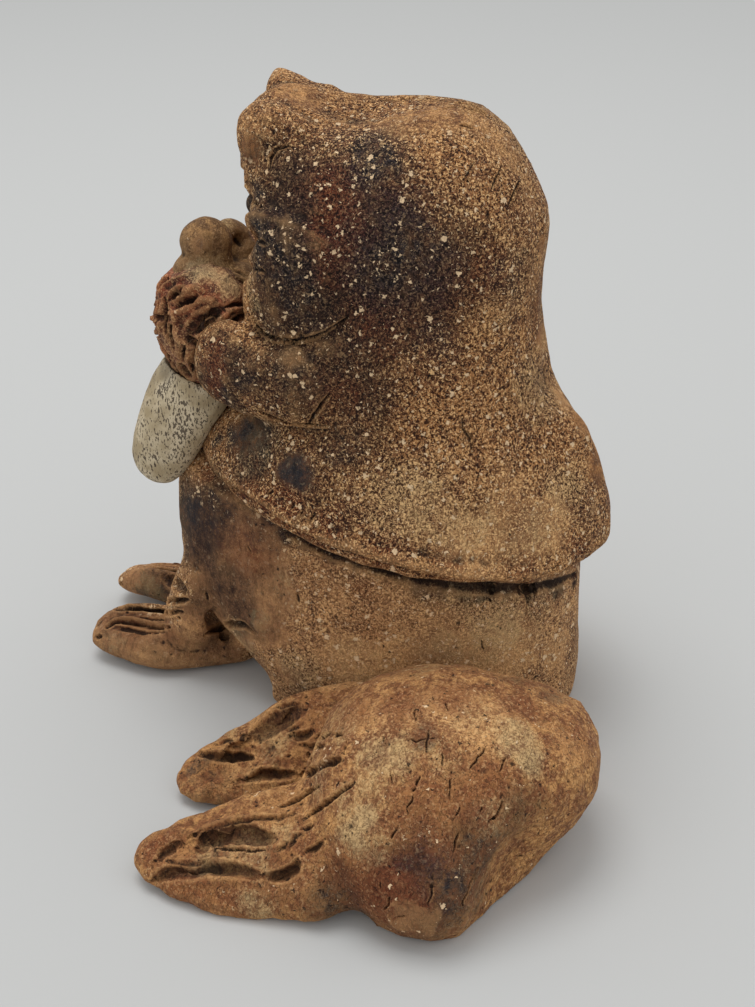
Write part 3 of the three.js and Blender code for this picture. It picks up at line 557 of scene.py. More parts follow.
UMBER_AND_SHADE = [
    # Mostly brown stain. The patches just under the hem of the cape, at about y 580 to 590, and those on the hem's lip
    # are painted shade.
    ((250, 568), 32, 0.5), ((275, 600), 24, 0.3), ((250, 618), 24, 0.5), ((285, 560), 24, 0.25), ((160, 585), 24, 0.8),
    ((225, 365), 20, 0.9), ((245, 376), 24, 0.9), ((265, 395), 22, 0.7), ((215, 345), 14, 0.8),
    ((240, 380), 15, 1.0), ((130, 632), 34, 0.6), ((170, 645), 28, 0.6), ((215, 652), 22, 0.6), ((480, 825), 16, 0.6),
    ((360, 280), 44, 1.0), ((335, 552), 10, 0.8), ((358, 556), 10, 0.8),
    ((300, 205), 44, 1.0), ((360, 235), 56, 1.0), ((420, 285), 48, 0.95), ((300, 375), 40, 0.85),
    ((350, 310), 52, 1.0), ((355, 385), 36, 0.85), ((275, 265), 34, 0.95), ((470, 270), 34, 0.6),
    ((290, 310), 34, 0.9), ((225, 400), 22, 0.9), ((200, 540), 36, 0.85), ((215, 500), 30, 0.85),
    ((250, 520), 28, 0.6), ((420, 890), 44, 0.8), ((345, 905), 32, 0.7), ((480, 850), 32, 0.6),
    ((280, 890), 24, 0.4), ((160, 350), 18, 0.8), ((180, 370), 18, 0.6), ((370, 185), 34, 0.8),
    ((345, 440), 36, 0.7), ((300, 480), 34, 0.6), ((330, 530), 26, 0.45), ((255, 450), 30, 0.8),
    ((275, 150), 26, 0.5), ((225, 590), 24, 0.6), ((238, 622), 18, 0.8), ((140, 645), 40, 0.45),
    ((155, 590), 26, 0.5), ((520, 825), 26, 0.6), ((440, 590), 20, 0.5), ((400, 585), 16, 0.4),
    ((222, 775), 26, 0.25), ((285, 740), 24, 0.15), ((190, 800), 18, 0.25),
    ((200, 530), 44, 1.0), ((225, 585), 36, 0.8), ((240, 610), 26, 0.8), ((212, 378), 20, 1.0), ((330, 545), 22, 0.4),
    ((300, 240), 40, 1.0), ((340, 270), 50, 1.0), ((370, 320), 40, 0.8), ((435, 582), 26, 0.6), ((470, 585), 20, 0.5),
    ((150, 580), 20, 0.5), ((205, 600), 26, 0.6), ((255, 655), 14, 0.4),
]
SLICK = [
    ((225, 770), 34, 1.0), ((280, 745), 30, 0.9), ((225, 845), 34, 1.0), ((275, 840), 22, 0.8), ((255, 585), 40, 0.9),
    ((240, 560), 40, 0.9), ((275, 600), 26, 0.6), ((262, 540), 24, 0.6), ((205, 620), 28, 1.0), ((590, 465), 20, 0.7), ((262, 620), 26, 0.8),
    ((400, 110), 26, 0.5), ((440, 112), 28, 0.6), ((480, 122), 22, 0.5), ((300, 85), 24, 0.8), ((345, 97), 20, 0.6),
    ((508, 150), 16, 0.5), ((250, 150), 12, 0.8), ((246, 190), 9, 0.6), ((541, 250), 8, 0.8), ((546, 330), 9, 0.9),
    ((575, 430), 18, 0.8), ((560, 400), 12, 0.8), ((195, 530), 30, 1.0), ((215, 575), 30, 0.9), ((235, 600), 22, 0.8),
    ((238, 505), 20, 0.7), ((120, 640), 34, 1.0), ((170, 640), 34, 1.0), ((215, 645), 24, 1.0), ((150, 590), 34, 1.0),
    ((245, 640), 14, 0.8), ((285, 670), 12, 0.6), ((575, 640), 10, 0.5), ((297, 476), 15, 1.0), ((246, 434), 18, 0.9), ((203, 605), 14, 1.0),
    ((535, 690), 20, 0.4),
]
HEM = [
    (211, 469), (230, 486), (249, 495), (266, 506), (287, 522), (310, 533), (333, 545), (356, 551), (380, 559),
    (400, 564), (422, 570), (444, 574), (466, 577), (488, 579), (510, 580), (532, 580), (555, 574), (575, 566),
]
RUST += [((x, y - 3), 13, 0.8) for x, y in HEM]
# Painted shade: a dark band under the hem of the cape, and on the underside of its lip.
UMBER_AND_SHADE += [((x, y + 12), 10, 1.0) for x, y in HEM[3:]] + [((x, y + 3), 9, 0.7) for x, y in HEM]
SEAM = [(345, 684), (370, 676), (400, 670), (430, 665), (460, 664), (490, 667), (520, 674), (550, 688)]
# Painted shade along the seam where the rump meets the torso.
UMBER_AND_SHADE += [((x, y + 2), 3, 0.6) for x, y in SEAM]
SLICK += [((x, y - 2), 5, 0.6) for x, y in HEM]
BLOOM_AND_LIT += [((205, 272), 12, 1.0), ((228, 284), 13, 1.0), ((244, 291), 9, 0.8), ((190, 270), 8, 0.7)]
WORN_AND_LIT += [((215, 277), 14, 0.6), ((236, 288), 12, 0.5)]
PIXELS_A_MM = 3.95


# %% Stains in space
def figure_tree():
    """A search tree over all the solids"""
    corners, faces = [], []
    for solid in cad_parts.values():
        first = len(corners)
        corners += [v.co.copy() for v in solid.data.vertices]
        faces += [tuple(first + i for i in p.vertices) for p in solid.data.polygons]
    return BVHTree.FromPolygons(corners, faces)


figure = figure_tree()
HIDDEN_PATCHES = 70


def in_space(patches, strength):
    """Patches as (place, radius, strength), with mirrored and random ones for the hidden sides"""
    spots = []
    for pixel, radius, power in patches:
        place = touched(figure, pixel)
        if place is None:
            continue
        size = radius / PIXELS_A_MM * MM
        spots.append((np.array(place), size, power))
        other = np.array([2 * middle_x - place.x, place.y, place.z])
        if place.x < middle_x + 45 * MM:
            spots.append((other, size * rng.uniform(0.8, 1.2), power * rng.uniform(0.5, 0.9)))
    for _ in range(HIDDEN_PATCHES):
        angle = rng.uniform(VIEW_AZIMUTH + 1.3, VIEW_AZIMUTH + 2 * math.pi - 1.3)
        away = Vector((math.sin(angle), -math.cos(angle), rng.uniform(-0.1, 0.8)))
        target = Vector((rng.uniform(-0.05, 0.04), rng.uniform(-0.03, 0.04), rng.uniform(0.01, 0.13)))
        place = figure.ray_cast(target + away * 0.3, -away)[0]
        if place is not None:
            spots.append((np.array(place), rng.uniform(3, 8) * MM, rng.uniform(0.3, 1) * strength))
    return spots


# Umber and smoke patches include painted shade, and worn and bloom patches include painted light.
stains = {
    "umber_and_shade": in_space(UMBER_AND_SHADE, 0.5),
    "smoke_and_shade": in_space(SMOKE_AND_SHADE, 0.5),
    "rust": in_space(RUST, 0.8),
    "bloom_and_lit": in_space(BLOOM_AND_LIT, 0.6),
    "worn_and_lit": in_space(WORN_AND_LIT, 0.4),
    "slick": in_space(SLICK, 0.4),
}
print("stains", {kind: len(spots) for kind, spots in stains.items()})


# %% [markdown]
# ## Paint that follows the skin
# Each point of the skin gets a value for each stain, and two that come from its shape: how
# hollow the clay is there, where shade is painted dark into the clay, and how proud it is,
# where the clay is made lighter. The materials read them as attributes.


# %% Attributes
def attribute(piece, name, values):
    layer = piece.data.attributes.new(name, "FLOAT", "POINT")
    layer.data.foreach_set("value", np.clip(values, 0, 1).astype(np.float32))


def paint(piece):
    """Writes the stains, among them painted shade and painted light, and the hollow and proud places to the skin"""
    places, normals = skin_of(piece)
    wobble = np.stack([clouds(places, 7 * MM, 2, shift) for shift in (1.3, 5.9, 9.2)], 1)
    warped = places + wobble * 2.2 * MM
    for kind, spots in stains.items():
        total = np.zeros(len(places))
        for place, radius, power in spots:
            gap = np.linalg.norm(warped - place, axis=1) / radius
            total = np.maximum(total, power * np.exp(-((gap * 0.8) ** 4)))
        attribute(piece, kind, total)
    pairs = edges_of(piece)
    fine = ((relaxed(places, pairs, 3) - places) * normals).sum(1) / MM
    broad = ((relaxed(places, pairs, 14) - places) * normals).sum(1) / MM
    cut = np.zeros(len(places), np.float32)
    if "cut" in piece.data.attributes:
        piece.data.attributes["cut"].data.foreach_get("value", cut)
        piece.data.attributes.remove(piece.data.attributes["cut"])
    # Painted shade: hollow grows in creases and with the depth of cuts.
    attribute(piece, "hollow", np.maximum(np.maximum(fine / 0.16, broad / 0.55), np.minimum((cut / 2.4) ** 0.7, 0.62)))
    attribute(piece, "proud", np.maximum(-fine / 0.14, -broad / 0.5) * 0.8)


def finished(piece, slot, *nodes):
    """Thins and paints a piece, hangs it under the root and hides the solids it stands for"""
    thin(piece)
    paint(piece)
    activate(piece)
    bpy.ops.object.shade_smooth()
    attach(piece, "root")
    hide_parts(*nodes)
    print(piece.name, len(piece.data.vertices), "points")
    return piece


MOST_TRIANGLES = 190000


def thin(piece):
    """Joins faces where the skin is flattest, until the piece is light enough"""
    piece.data.calc_loop_triangles()
    count = len(piece.data.loop_triangles)
    if count > MOST_TRIANGLES:
        modify(piece, "DECIMATE", ratio=MOST_TRIANGLES / count)
    print(piece.name, "thinned from", count, "triangles")


def coarsen_inside(piece, hollow_node, ratio=0.2):
    """Thins the skin of the hollow, which nobody sees"""
    tree = tree_of(piece)
    places, normals = skin_of(piece)
    low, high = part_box(hollow_node)
    inward = np.array((low + high) / 2) - places
    inward[:, 2] = 0
    inward /= np.linalg.norm(inward, axis=1)[:, None]
    facing = (inward * normals).sum(1) > 0.35
    inner = []
    for i in np.nonzero(facing)[0]:
        hit = tree.ray_cast(Vector(places[i] + normals[i] * 0.5 * MM), Vector(normals[i]))
        if hit[0] is not None and hit[3] > 12 * MM:
            inner.append(int(i))
    group = piece.vertex_groups.new(name="inside")
    group.add(inner, 1.0, "REPLACE")
    share = len(inner) / len(places)
    keep = 1 - share * (1 - ratio)
    modify(piece, "DECIMATE", ratio=keep, vertex_group="inside", vertex_group_factor=1000)
    piece.vertex_groups.clear()
    print(piece.name, "inside share", round(share, 2), "now", len(piece.data.polygons), "faces")


# %% [markdown]
# ## Head and cape
# One thick slab makes the head and the cape, and the jowls are rolls pressed under its
# front corners. The hood and both jowls become one piece of clay, smeared where they met.
# The corner of the slab stays proud, with a dark undercut below it, and drying cracks run
# through the jowl and the hem.

# %% Marks on the head
HEAD_STROKES = [
    ([(253, 318), (258, 329), (267, 337), (280, 341), (294, 342), (314, 338), (328, 331)], 1.4, 1.3, 0.0, 0.8),
    ([(252, 203), (257, 204), (264, 207)], 1.2, 0.8, 0.1, 0.9),
    ([(257, 241), (261, 242), (266, 245)], 1.2, 0.8, 0.1, 0.9),
    ([(256, 269), (260, 270), (265, 272)], 1.1, 0.8, 0.1, 0.9),
    ([(326, 332), (338, 324), (348, 317)], 1.0, 1.1, 0.0, 0.9),
    ([(330, 394), (325, 400), (320, 407), (313, 417), (308, 425)], 1.0, 1.5, 0.1, 1.0),
    ([(258, 411), (277, 420), (292, 425), (308, 426), (328, 427)], 1.5, 1.4, 0.1, 0.9),
    ([(289, 146), (282, 147), (276, 150), (271, 158), (269, 171)], 1.0, 0.5, 0.6, 1.0),
    ([(380, 100), (389, 100), (398, 100), (405, 99), (415, 98), (425, 98), (437, 100)], 0.9, 0.9, 0.2, 0.9),
    ([(437, 100), (448, 102), (460, 103), (472, 105), (480, 110), (492, 118)], 0.8, 0.7, 0.2, 0.9),
    ([(475, 161), (469, 171), (463, 182)], 0.8, 0.35, 0.4, 1.0),
    ([(461, 125), (467, 126), (474, 128)], 1.2, 0.9, 0.2, 1.0),
    ([(505, 104), (522, 113), (532, 122)], 0.9, 0.4, 0.2, 1.0),
    ([(268, 495), (274, 490)], 0.9, 0.7, 0.1, 1.0),
    ([(290, 510), (295, 503)], 0.8, 0.6, 0.1, 1.0),
    ([(298, 518), (303, 511)], 0.8, 0.7, 0.1, 1.0),
    ([(308, 526), (315, 513)], 0.9, 0.8, 0.1, 1.0),
    ([(317, 529), (320, 522)], 0.7, 0.6, 0.1, 1.0),
    ([(368, 552), (371, 545)], 0.7, 0.5, 0.1, 1.0),
    ([(402, 557), (404, 549)], 0.8, 0.5, 0.1, 1.0),
    ([(590, 553), (588, 562)], 0.8, 0.7, 0.1, 1.0),
    ([(502, 165), (497, 177), (491, 190)], 0.8, 0.4, 0.5, 1.0),
    ([(520, 180), (514, 192), (508, 206)], 0.8, 0.5, 0.5, 1.0),
    ([(462, 415), (463, 428), (470, 440), (473, 452)], 1.0, 0.5, 0.2, 1.0),
]
CROWN_MOVES = [
    ((335, 92), 12, (0, 0, -2.8)), ((370, 97), 13, (0, 0, -3.2)), ((-41, -17, 142.5), 4.5, (-2.5, -2.0, 1.7)), ((-35, 27, 140), 8, (0, 0.6, 1.2)),
    ((-41, -11, 143.4), 4, (0, 0, -0.9)), ((552, 388), 6, (0.4, -1.2, 0)),
    ((478, 106), 10, (0, 0.3, 2.3)), ((502, 122), 8, (0, 1.3, 0.8)), ((545, 215), 6, (0, 0.9, 0)),
    ((545, 300), 14, (0, -0.8, 0)), ((553, 385), 6, (0.3, -1.0, 0)), ((562, 424), 7.5, (-1.1, 4.4, 0.4)),
    ((588, 465), 7, (-0.6, 2.2, 0)), ((600, 520), 8, (-0.3, 1.2, 0)),
]
HEM_MOVES = [
    ((250, 492), 6, (0.6, -0.4, -0.8)), ((290, 518), 6, (0.8, 0, -1.2)), ((330, 538), 6, (1.0, 0, -1.6)),
    ((370, 550), 6, (1.2, 0, -2.0)), ((410, 557), 6, (1.3, 0, -2.3)), ((450, 559), 6, (1.3, 0, -2.4)),
    ((490, 559), 6, (1.3, 0, -2.4)), ((530, 556), 6, (1.2, 0.3, -2.4)), ((565, 550), 6, (0.8, 0.6, -1.6)),
]
FRONT_MOVES = [
    ((241, 224), 6, (-0.3, 1.3, 0)), ((240, 252), 7, (-0.4, 1.6, 0)), ((240, 284), 7, (-0.3, 1.4, 0)),
]
EYE_ROLLS = [
    ((254, 222), 2.5, (1, 0.9, 1.4)), ((257, 250), 2.0, (1, 0.9, 1.2)), ((256, 270), 1.6, (1, 0.9, 1.2)),
    ((254, 287), 2.1, (1, 0.9, 1.3)),
]
SCALLOPS = [
    ((251, 203), 1.3, -1.6), ((254, 240), 1.1, -1.6), ((256, 268), 1.0, -1.2), ((248, 221), 1.8, 0.6),
    ((247, 255), 1.4, 0.6), ((252, 283), 1.8, 0.6), ((252, 312), 1.6, -0.6),
]
NOTCHES = [((-14, -17.8, 124.6), 2.0, 1.8), ((-11.3, -16.9, 115.7), 2.2, 2.7), ((-12.1, -17.6, 108.9), 1.8, 1.9)]
NOTCH_MOVES = [
    ((x + step, y + 0.28 * step, z + 0.57 * step), radius, (0, deep, 0))
    for (x, y, z), radius, deep in NOTCHES for step in (-9, -6, -3, 0, 3, 6, 9)
]
HEAD_MARKS = [
    ((385, 130), 9, 0.5), ((330, 170), 10, -0.5), ((300, 240), 9, 0.4), ((420, 330), 14, -0.6),
    ((290, 320), 6, 0.9), ((270, 305), 5, 0.7), ((300, 385), 9, 0.5), ((560, 430), 10, -0.7),
    ((480, 480), 12, 0.4), ((380, 480), 12, -0.5), ((245, 445), 8, -0.8),
]

# %% Head
brow_rolls = [
    lump(pixel, "eye_left", radius, stretch, twin)
    for pixel, radius, stretch in EYE_ROLLS for twin in (False, True)
]
head = clay("head", ["hood", "jowl_left", "jowl_right"], 0.6 * MM, rounds=4, lumps=brow_rolls)
corner = touched(figure, (296, 322))
other_corner = (2 * middle_x - corner.x, corner.y, corner.z)
smear(head, "hood", "jowl_left", 1.8 * MM, 30, [(corner, 16 * MM)])
smear(head, "hood", "jowl_right", 1.8 * MM, 30, [(other_corner, 16 * MM)])
coarsen_inside(head, "hood")
push(head, CROWN_MOVES)
push(head, HEM_MOVES, mirror=True)
push(head, FRONT_MOVES, mirror=True)
push(head, NOTCH_MOVES, mirror=True)
FLAP_EDGE = [(254, 296), (251, 308), (253, 320), (260, 332), (274, 340), (294, 342), (314, 337), (330, 329), (346, 317)]
JOWL_EDGE = [(242, 404), (253, 412), (268, 418), (287, 424), (307, 427), (328, 428)]
BROW_EDGE = [(262, 91), (275, 89), (286, 91), (307, 99), (325, 102), (343, 102), (368, 100)]
ledge(head, FLAP_EDGE, (296, 300), 0.8, 1.2, 2.4)
ledge(head, JOWL_EDGE, (285, 385), 0.5, 1.5, 2.6)
ledge(head, BROW_EDGE, (310, 150), 0.3, 0.6, 3.0, mirror=False)
ledge(head, HEM, (400, 470), 0.9, 0.3, 2.2)
mould(head, [((300, 352), 5, 1.4), ((330, 342), 5, 1.2), ((285, 328), 5, -0.9), ((312, 322), 5, -0.7)], mirror=True)
mould(head, HEAD_MARKS, mirror=True)
mould(head, SCALLOPS, mirror=True)
weather(head, 0.35, 0.16, 0.05)
carve(head, HEAD_STROKES, divide=1, mirror=True)
carve(head, [([(x, y - 5) for x, y in HEM], 5.2, -0.7, 0, 1)], mirror=True)
pit(head, 160, 0.35, 0.7, 0.6)
finished(head, "head_clay", "hood", "jowl_left", "jowl_right")

# %% [markdown]
# ## Body
# The torso is a slab tube, and each front flipper is a paddle whose short arm was smeared
# onto it. They become one piece. The flippers carry long leaf-shaped gouges between their
# toes, and the heel is a roll folded back on itself.

# %% Marks on the body
FLIPPER_STROKES = [
    ([(115, 609), (128, 608), (138, 610), (148, 612), (165, 613), (183, 612)], 1.9, 2.2, 0.2, 0.8),
    ([(107, 627), (115, 622), (122, 621), (130, 622), (145, 625), (155, 627), (170, 627)], 1.9, 2.2, 0.25, 0.8),
    ([(140, 617), (152, 619), (165, 620)], 1.0, 0.9, 0.2, 0.8),
    ([(143, 603), (165, 602), (188, 600)], 1.8, 2.0, 0.2, 0.8),
    ([(205, 635), (211, 631), (218, 628), (232, 624), (245, 625), (254, 633)], 2.2, 2.2, 0.1, 0.8),
    ([(219, 630), (224, 634), (226, 641)], 3.0, 2.2, 0.0, 0.7),
    ([(109, 603), (113, 609)], 1.8, 1.3, 0.1, 0.8),
    ([(95, 638), (102, 636)], 1.5, 1.0, 0.1, 0.8),
    ([(124, 594), (134, 599), (144, 602)], 4.5, 1.8, 0.1, 0.8),
    ([(115, 583), (123, 585)], 1.6, 1.1, 0.1, 0.8),
    ([(165, 577), (176, 583), (186, 592)], 4.0, 1.8, 0.1, 0.8),
]
TORSO_STROKES = [
    ([(206, 592), (208, 601)], 1.0, 0.8, 0.1, 1.0),
    ([(297, 594), (299, 603)], 0.9, 0.7, 0.1, 1.0),
    ([(247, 545), (251, 553)], 0.8, 0.6, 0.1, 1.0),
    ([(491, 583), (492, 595)], 1.0, 0.9, 0.1, 1.0),
    ([(526, 582), (529, 605)], 1.5, 1.1, 0.2, 0.8),
    ([(536, 582), (535, 598)], 1.0, 0.9, 0.1, 1.0),
    ([(488, 598), (492, 603)], 0.9, 0.8, 0.1, 1.0),
    ([(481, 640), (484, 652)], 0.7, 0.4, 0.6, 1.0),
]

FOOT_MOVES = [((-12, -33, 0), 16, (0, 14.0, 0))]
FOOT_TRIM = [((-23, -25, 1), 7, (0, 4.8, 0)), ((-6, -8, 1), 6, (0, -4.6, 0))]
BODY_MARKS = [
    ((262, 624), 2.2, 0.9), ((300, 640), 12, 0.5),
    ((440, 640), 16, -0.7), ((214, 596), 6, -0.6),
]

# %% Body
upright = merged_copy("torso", 0.25 * MM)
push(upright, FOOT_MOVES, mirror=True)
push(upright, FOOT_TRIM, mirror=True)
heel = lump((243, 638), "front_flipper_left", 3.4, (1, 1.1, 1.1))
body = clay("body", ["front_flipper_left", "front_flipper_right"], 0.6 * MM, rounds=5, lumps=[upright, heel])
smear(body, "torso", "front_flipper_left", 3.0 * MM, 40)
smear(body, "torso", "front_flipper_right", 3.0 * MM, 40)
coarsen_inside(body, "torso")
BODY_MOVES = [
    ((150, 618), 9, (0, 0, 2.4)), ((120, 615), 7, (0, 0, 1.6)), ((160, 660), 9, (1.8, 0, 0)),
]
push(body, BODY_MOVES, mirror=True)
mould(body, BODY_MARKS, mirror=True)
weather(body, 0.4, 0.2, 0.05)
carve(body, FLIPPER_STROKES, divide=1, mirror=True)
carve(body, TORSO_STROKES, divide=1, mirror=True)
# A groove under the hem, whose depth the finish darkens as painted shade.
carve(body, [([(x, y + 9) for x, y in HEM[4:]], 3.4, 1.8, 0, 0.8)])
pit(body, 140, 0.35, 0.7, 0.6)
finished(body, "body_clay", "torso", "front_flipper_left", "front_flipper_right")

# %% [markdown]
# ## Hindquarters
# The rump is a pinched dome, and the hind flippers are two spoons that were drawn out of
# its front. Their palms are gouged deep, and the clay tore into ragged pits where they
# bend. Fine cracks run down over the dome.

# %% Marks on the hindquarters
HIND_STROKES = [
    ([(298, 709), (288, 712), (276, 717), (264, 724), (255, 731), (248, 735)], 4.4, 3.6, 0.1, 0.75),
    ([(300, 704), (292, 703), (284, 704), (276, 708)], 1.4, 1.4, 0.14, 0.85),
    ([(196, 752), (206, 753), (218, 755), (232, 756), (243, 756), (253, 757)], 2.0, 2.4, 0.12, 0.85),
    ([(240, 780), (250, 776), (262, 773), (278, 773), (296, 774)], 2.0, 2.4, 0.12, 0.85),
    ([(292, 736), (302, 735), (312, 731)], 1.9, 1.7, 0.07, 0.85),
    ([(316, 737), (324, 735), (331, 732)], 1.7, 1.7, 0.07, 0.85),
    ([(334, 733), (341, 734)], 1.3, 1.5, 0.03, 0.95),
    ([(301, 744), (312, 746), (324, 745)], 1.4, 1.3, 0.07, 0.95),
    ([(303, 774), (310, 771), (317, 768)], 1.9, 1.9, 0.1, 0.85),
    ([(317, 768), (324, 763), (332, 761), (341, 760)], 1.7, 1.8, 0.1, 0.85),
    ([(308, 752), (311, 760), (306, 768)], 1.1, 1.2, 0.07, 0.95),
    ([(281, 806), (289, 803), (297, 798), (308, 791), (320, 785)], 1.2, 1.4, 0.07, 1.05),
    ([(190, 837), (200, 831), (212, 827), (223, 823), (235, 820), (252, 817), (268, 816), (282, 817), (294, 813)],
     1.3, 1.4, 0.1, 0.95),
    ([(202, 846), (205, 839), (213, 834), (226, 831), (240, 830), (252, 832), (262, 835), (272, 837)], 3.4, 3.0, 0.12, 0.75),
    ([(212, 847), (230, 849), (248, 850), (265, 850)], 0.9, 0.9, 0.07, 1.05),
    ([(156, 860), (164, 851), (172, 846), (182, 843)], 1.8, 1.6, 0.07, 0.85),
    ([(168, 860), (185, 862), (205, 862), (222, 863)], 1.5, 1.2, 0.07, 0.95),
    ([(153, 881), (160, 875), (168, 871), (180, 869), (194, 868), (208, 866), (222, 866), (238, 868), (250, 871),
      (258, 874)], 2.6, 3.0, 0.1, 0.75),
    ([(266, 875), (276, 875), (285, 873), (293, 868), (297, 860)], 2.0, 2.4, 0.1, 0.85),
    ([(303, 819), (312, 812), (321, 806), (330, 799), (340, 791), (354, 782)], 1.2, 1.6, 0.05, 1.05),
    ([(302, 828), (308, 827), (313, 824)], 1.2, 1.2, 0.07, 0.95),
    ([(304, 853), (313, 848), (322, 842)], 1.2, 1.1, 0.07, 0.95),
    ([(286, 850), (292, 842), (297, 835), (303, 831)], 1.1, 1.0, 0.07, 1.05),
    ([(275, 851), (284, 846), (290, 840)], 1.0, 0.8, 0.07, 1.05),
    ([(283, 722), (290, 728), (298, 727)], 1.2, 1.0, 0.07, 0.95),
    ([(214, 745), (224, 741), (232, 740)], 1.0, 0.7, 0.07, 1.05),
    ([(285, 757), (291, 753)], 0.8, 0.7, 0.07, 1.05),
]
RUMP_STROKES = [
    ([(414, 707), (415, 713), (415, 721)], 0.81, 1.0, 0.05, 1.0),
    ([(446, 703), (448, 710)], 0.62, 0.8, 0.05, 1.0),
    ([(430, 728), (427, 740), (425, 752)], 0.68, 0.9, 0.05, 1.0),
    ([(405, 739), (416, 741), (426, 738), (438, 737)], 0.56, 0.6, 0.05, 1.0),
    ([(421, 775), (417, 784), (413, 793)], 0.74, 1.0, 0.05, 1.0),
    ([(413, 793), (410, 804), (407, 815)], 0.56, 0.8, 0.05, 1.0),
    ([(443, 749), (442, 760), (443, 769)], 0.62, 0.8, 0.05, 1.0),
    ([(452, 770), (450, 785), (449, 800)], 0.62, 0.8, 0.05, 1.0),
    ([(486, 747), (478, 758), (470, 770)], 0.68, 0.9, 0.05, 1.0),
    ([(507, 756), (502, 765), (498, 774)], 0.62, 0.8, 0.05, 1.0),
    ([(502, 799), (501, 808), (497, 815), (487, 822)], 0.68, 0.9, 0.05, 1.0),
    ([(460, 806), (457, 815), (453, 822)], 0.62, 0.8, 0.05, 1.0),
    ([(482, 805), (479, 814)], 0.56, 0.7, 0.05, 1.0),
    ([(458, 832), (455, 842), (453, 852)], 0.68, 0.8, 0.05, 1.0),
    ([(398, 827), (394, 832), (391, 842)], 0.68, 0.9, 0.05, 1.0),
    ([(476, 871), (472, 881), (468, 890)], 0.81, 1.1, 0.05, 1.0),
    ([(468, 890), (464, 900), (462, 909)], 0.62, 0.9, 0.05, 1.0),
    ([(432, 885), (431, 897), (427, 906)], 0.62, 0.8, 0.05, 1.0),
    ([(390, 895), (388, 905), (383, 912)], 0.68, 0.9, 0.05, 1.0),
    ([(395, 918), (405, 916)], 0.62, 0.8, 0.05, 1.0),
    ([(505, 860), (515, 856), (525, 851)], 0.62, 0.7, 0.05, 1.0),
    ([(345, 740), (344, 752)], 0.5, 0.6, 0.05, 1.0),
    ([(383, 734), (385, 745)], 0.5, 0.6, 0.05, 1.0),
    ([(390, 773), (391, 785)], 0.5, 0.6, 0.05, 1.0),
    ([(380, 893), (382, 880)], 0.5, 0.6, 0.05, 1.0),
]
HIND_MARKS = [
    ((522, 850), 10, -1.6), ((470, 905), 6, 0.7), ((360, 838), 8, 0.8), ((525, 752), 9, 0.8), ((440, 790), 9, -0.5),
    ((428, 905), 7, 0.7), ((404, 868), 6, -0.5), ((590, 770), 8, 0.6),
    ((201, 791), 2.0, 0.9), ((266, 795), 2.2, 1.0), ((225, 800), 3.0, 0.4), ((137, 846), 1.2, 0.8),
    ((515, 850), 9, -1.0), ((590, 800), 9, 0.6), ((460, 740), 10, 0.5), ((540, 800), 12, -0.5),
    ((365, 850), 9, 0.5), ((300, 920), 8, -0.6), ((215, 900), 8, 0.4), ((235, 815), 5, 0.6),
    ((225, 768), 5, -0.5),
]

# %% Hindquarters
hindquarters = clay(
    "hindquarters", ["rump", "hind_flipper_left", "hind_flipper_right"], 0.52 * MM, heal=1.6 * MM, rounds=5
)
smear(hindquarters, "rump", "hind_flipper_left", 3.0 * MM, 40)
smear(hindquarters, "rump", "hind_flipper_right", 3.0 * MM, 40)
coarsen_inside(hindquarters, "rump")
push(hindquarters, [((288, 715), 6, (-1.0, -1.0, 2.6))])
mould(hindquarters, HIND_MARKS)
weather(hindquarters, 0.8, 0.4, 0.08)
carve(hindquarters, HIND_STROKES, divide=1, fold=1.7, wobble=0.35)
carve(hindquarters, RUMP_STROKES, divide=2, wobble=0.5)
pit(hindquarters, 220, 0.3, 0.65, 0.6)
finished(hindquarters, "rump_clay", "rump", "hind_flipper_left", "hind_flipper_right")

# %% [markdown]
# ## Face
# The muzzle is a block between the whisker pads. Each pad is gouged from all sides into
# thin ridges that stand for the whiskers. The marks of the left pad are seen in the
# photograph, and the right one has them mirrored. The fronts of both pads, which the
# photograph doesn't show, are gouged in a fan.

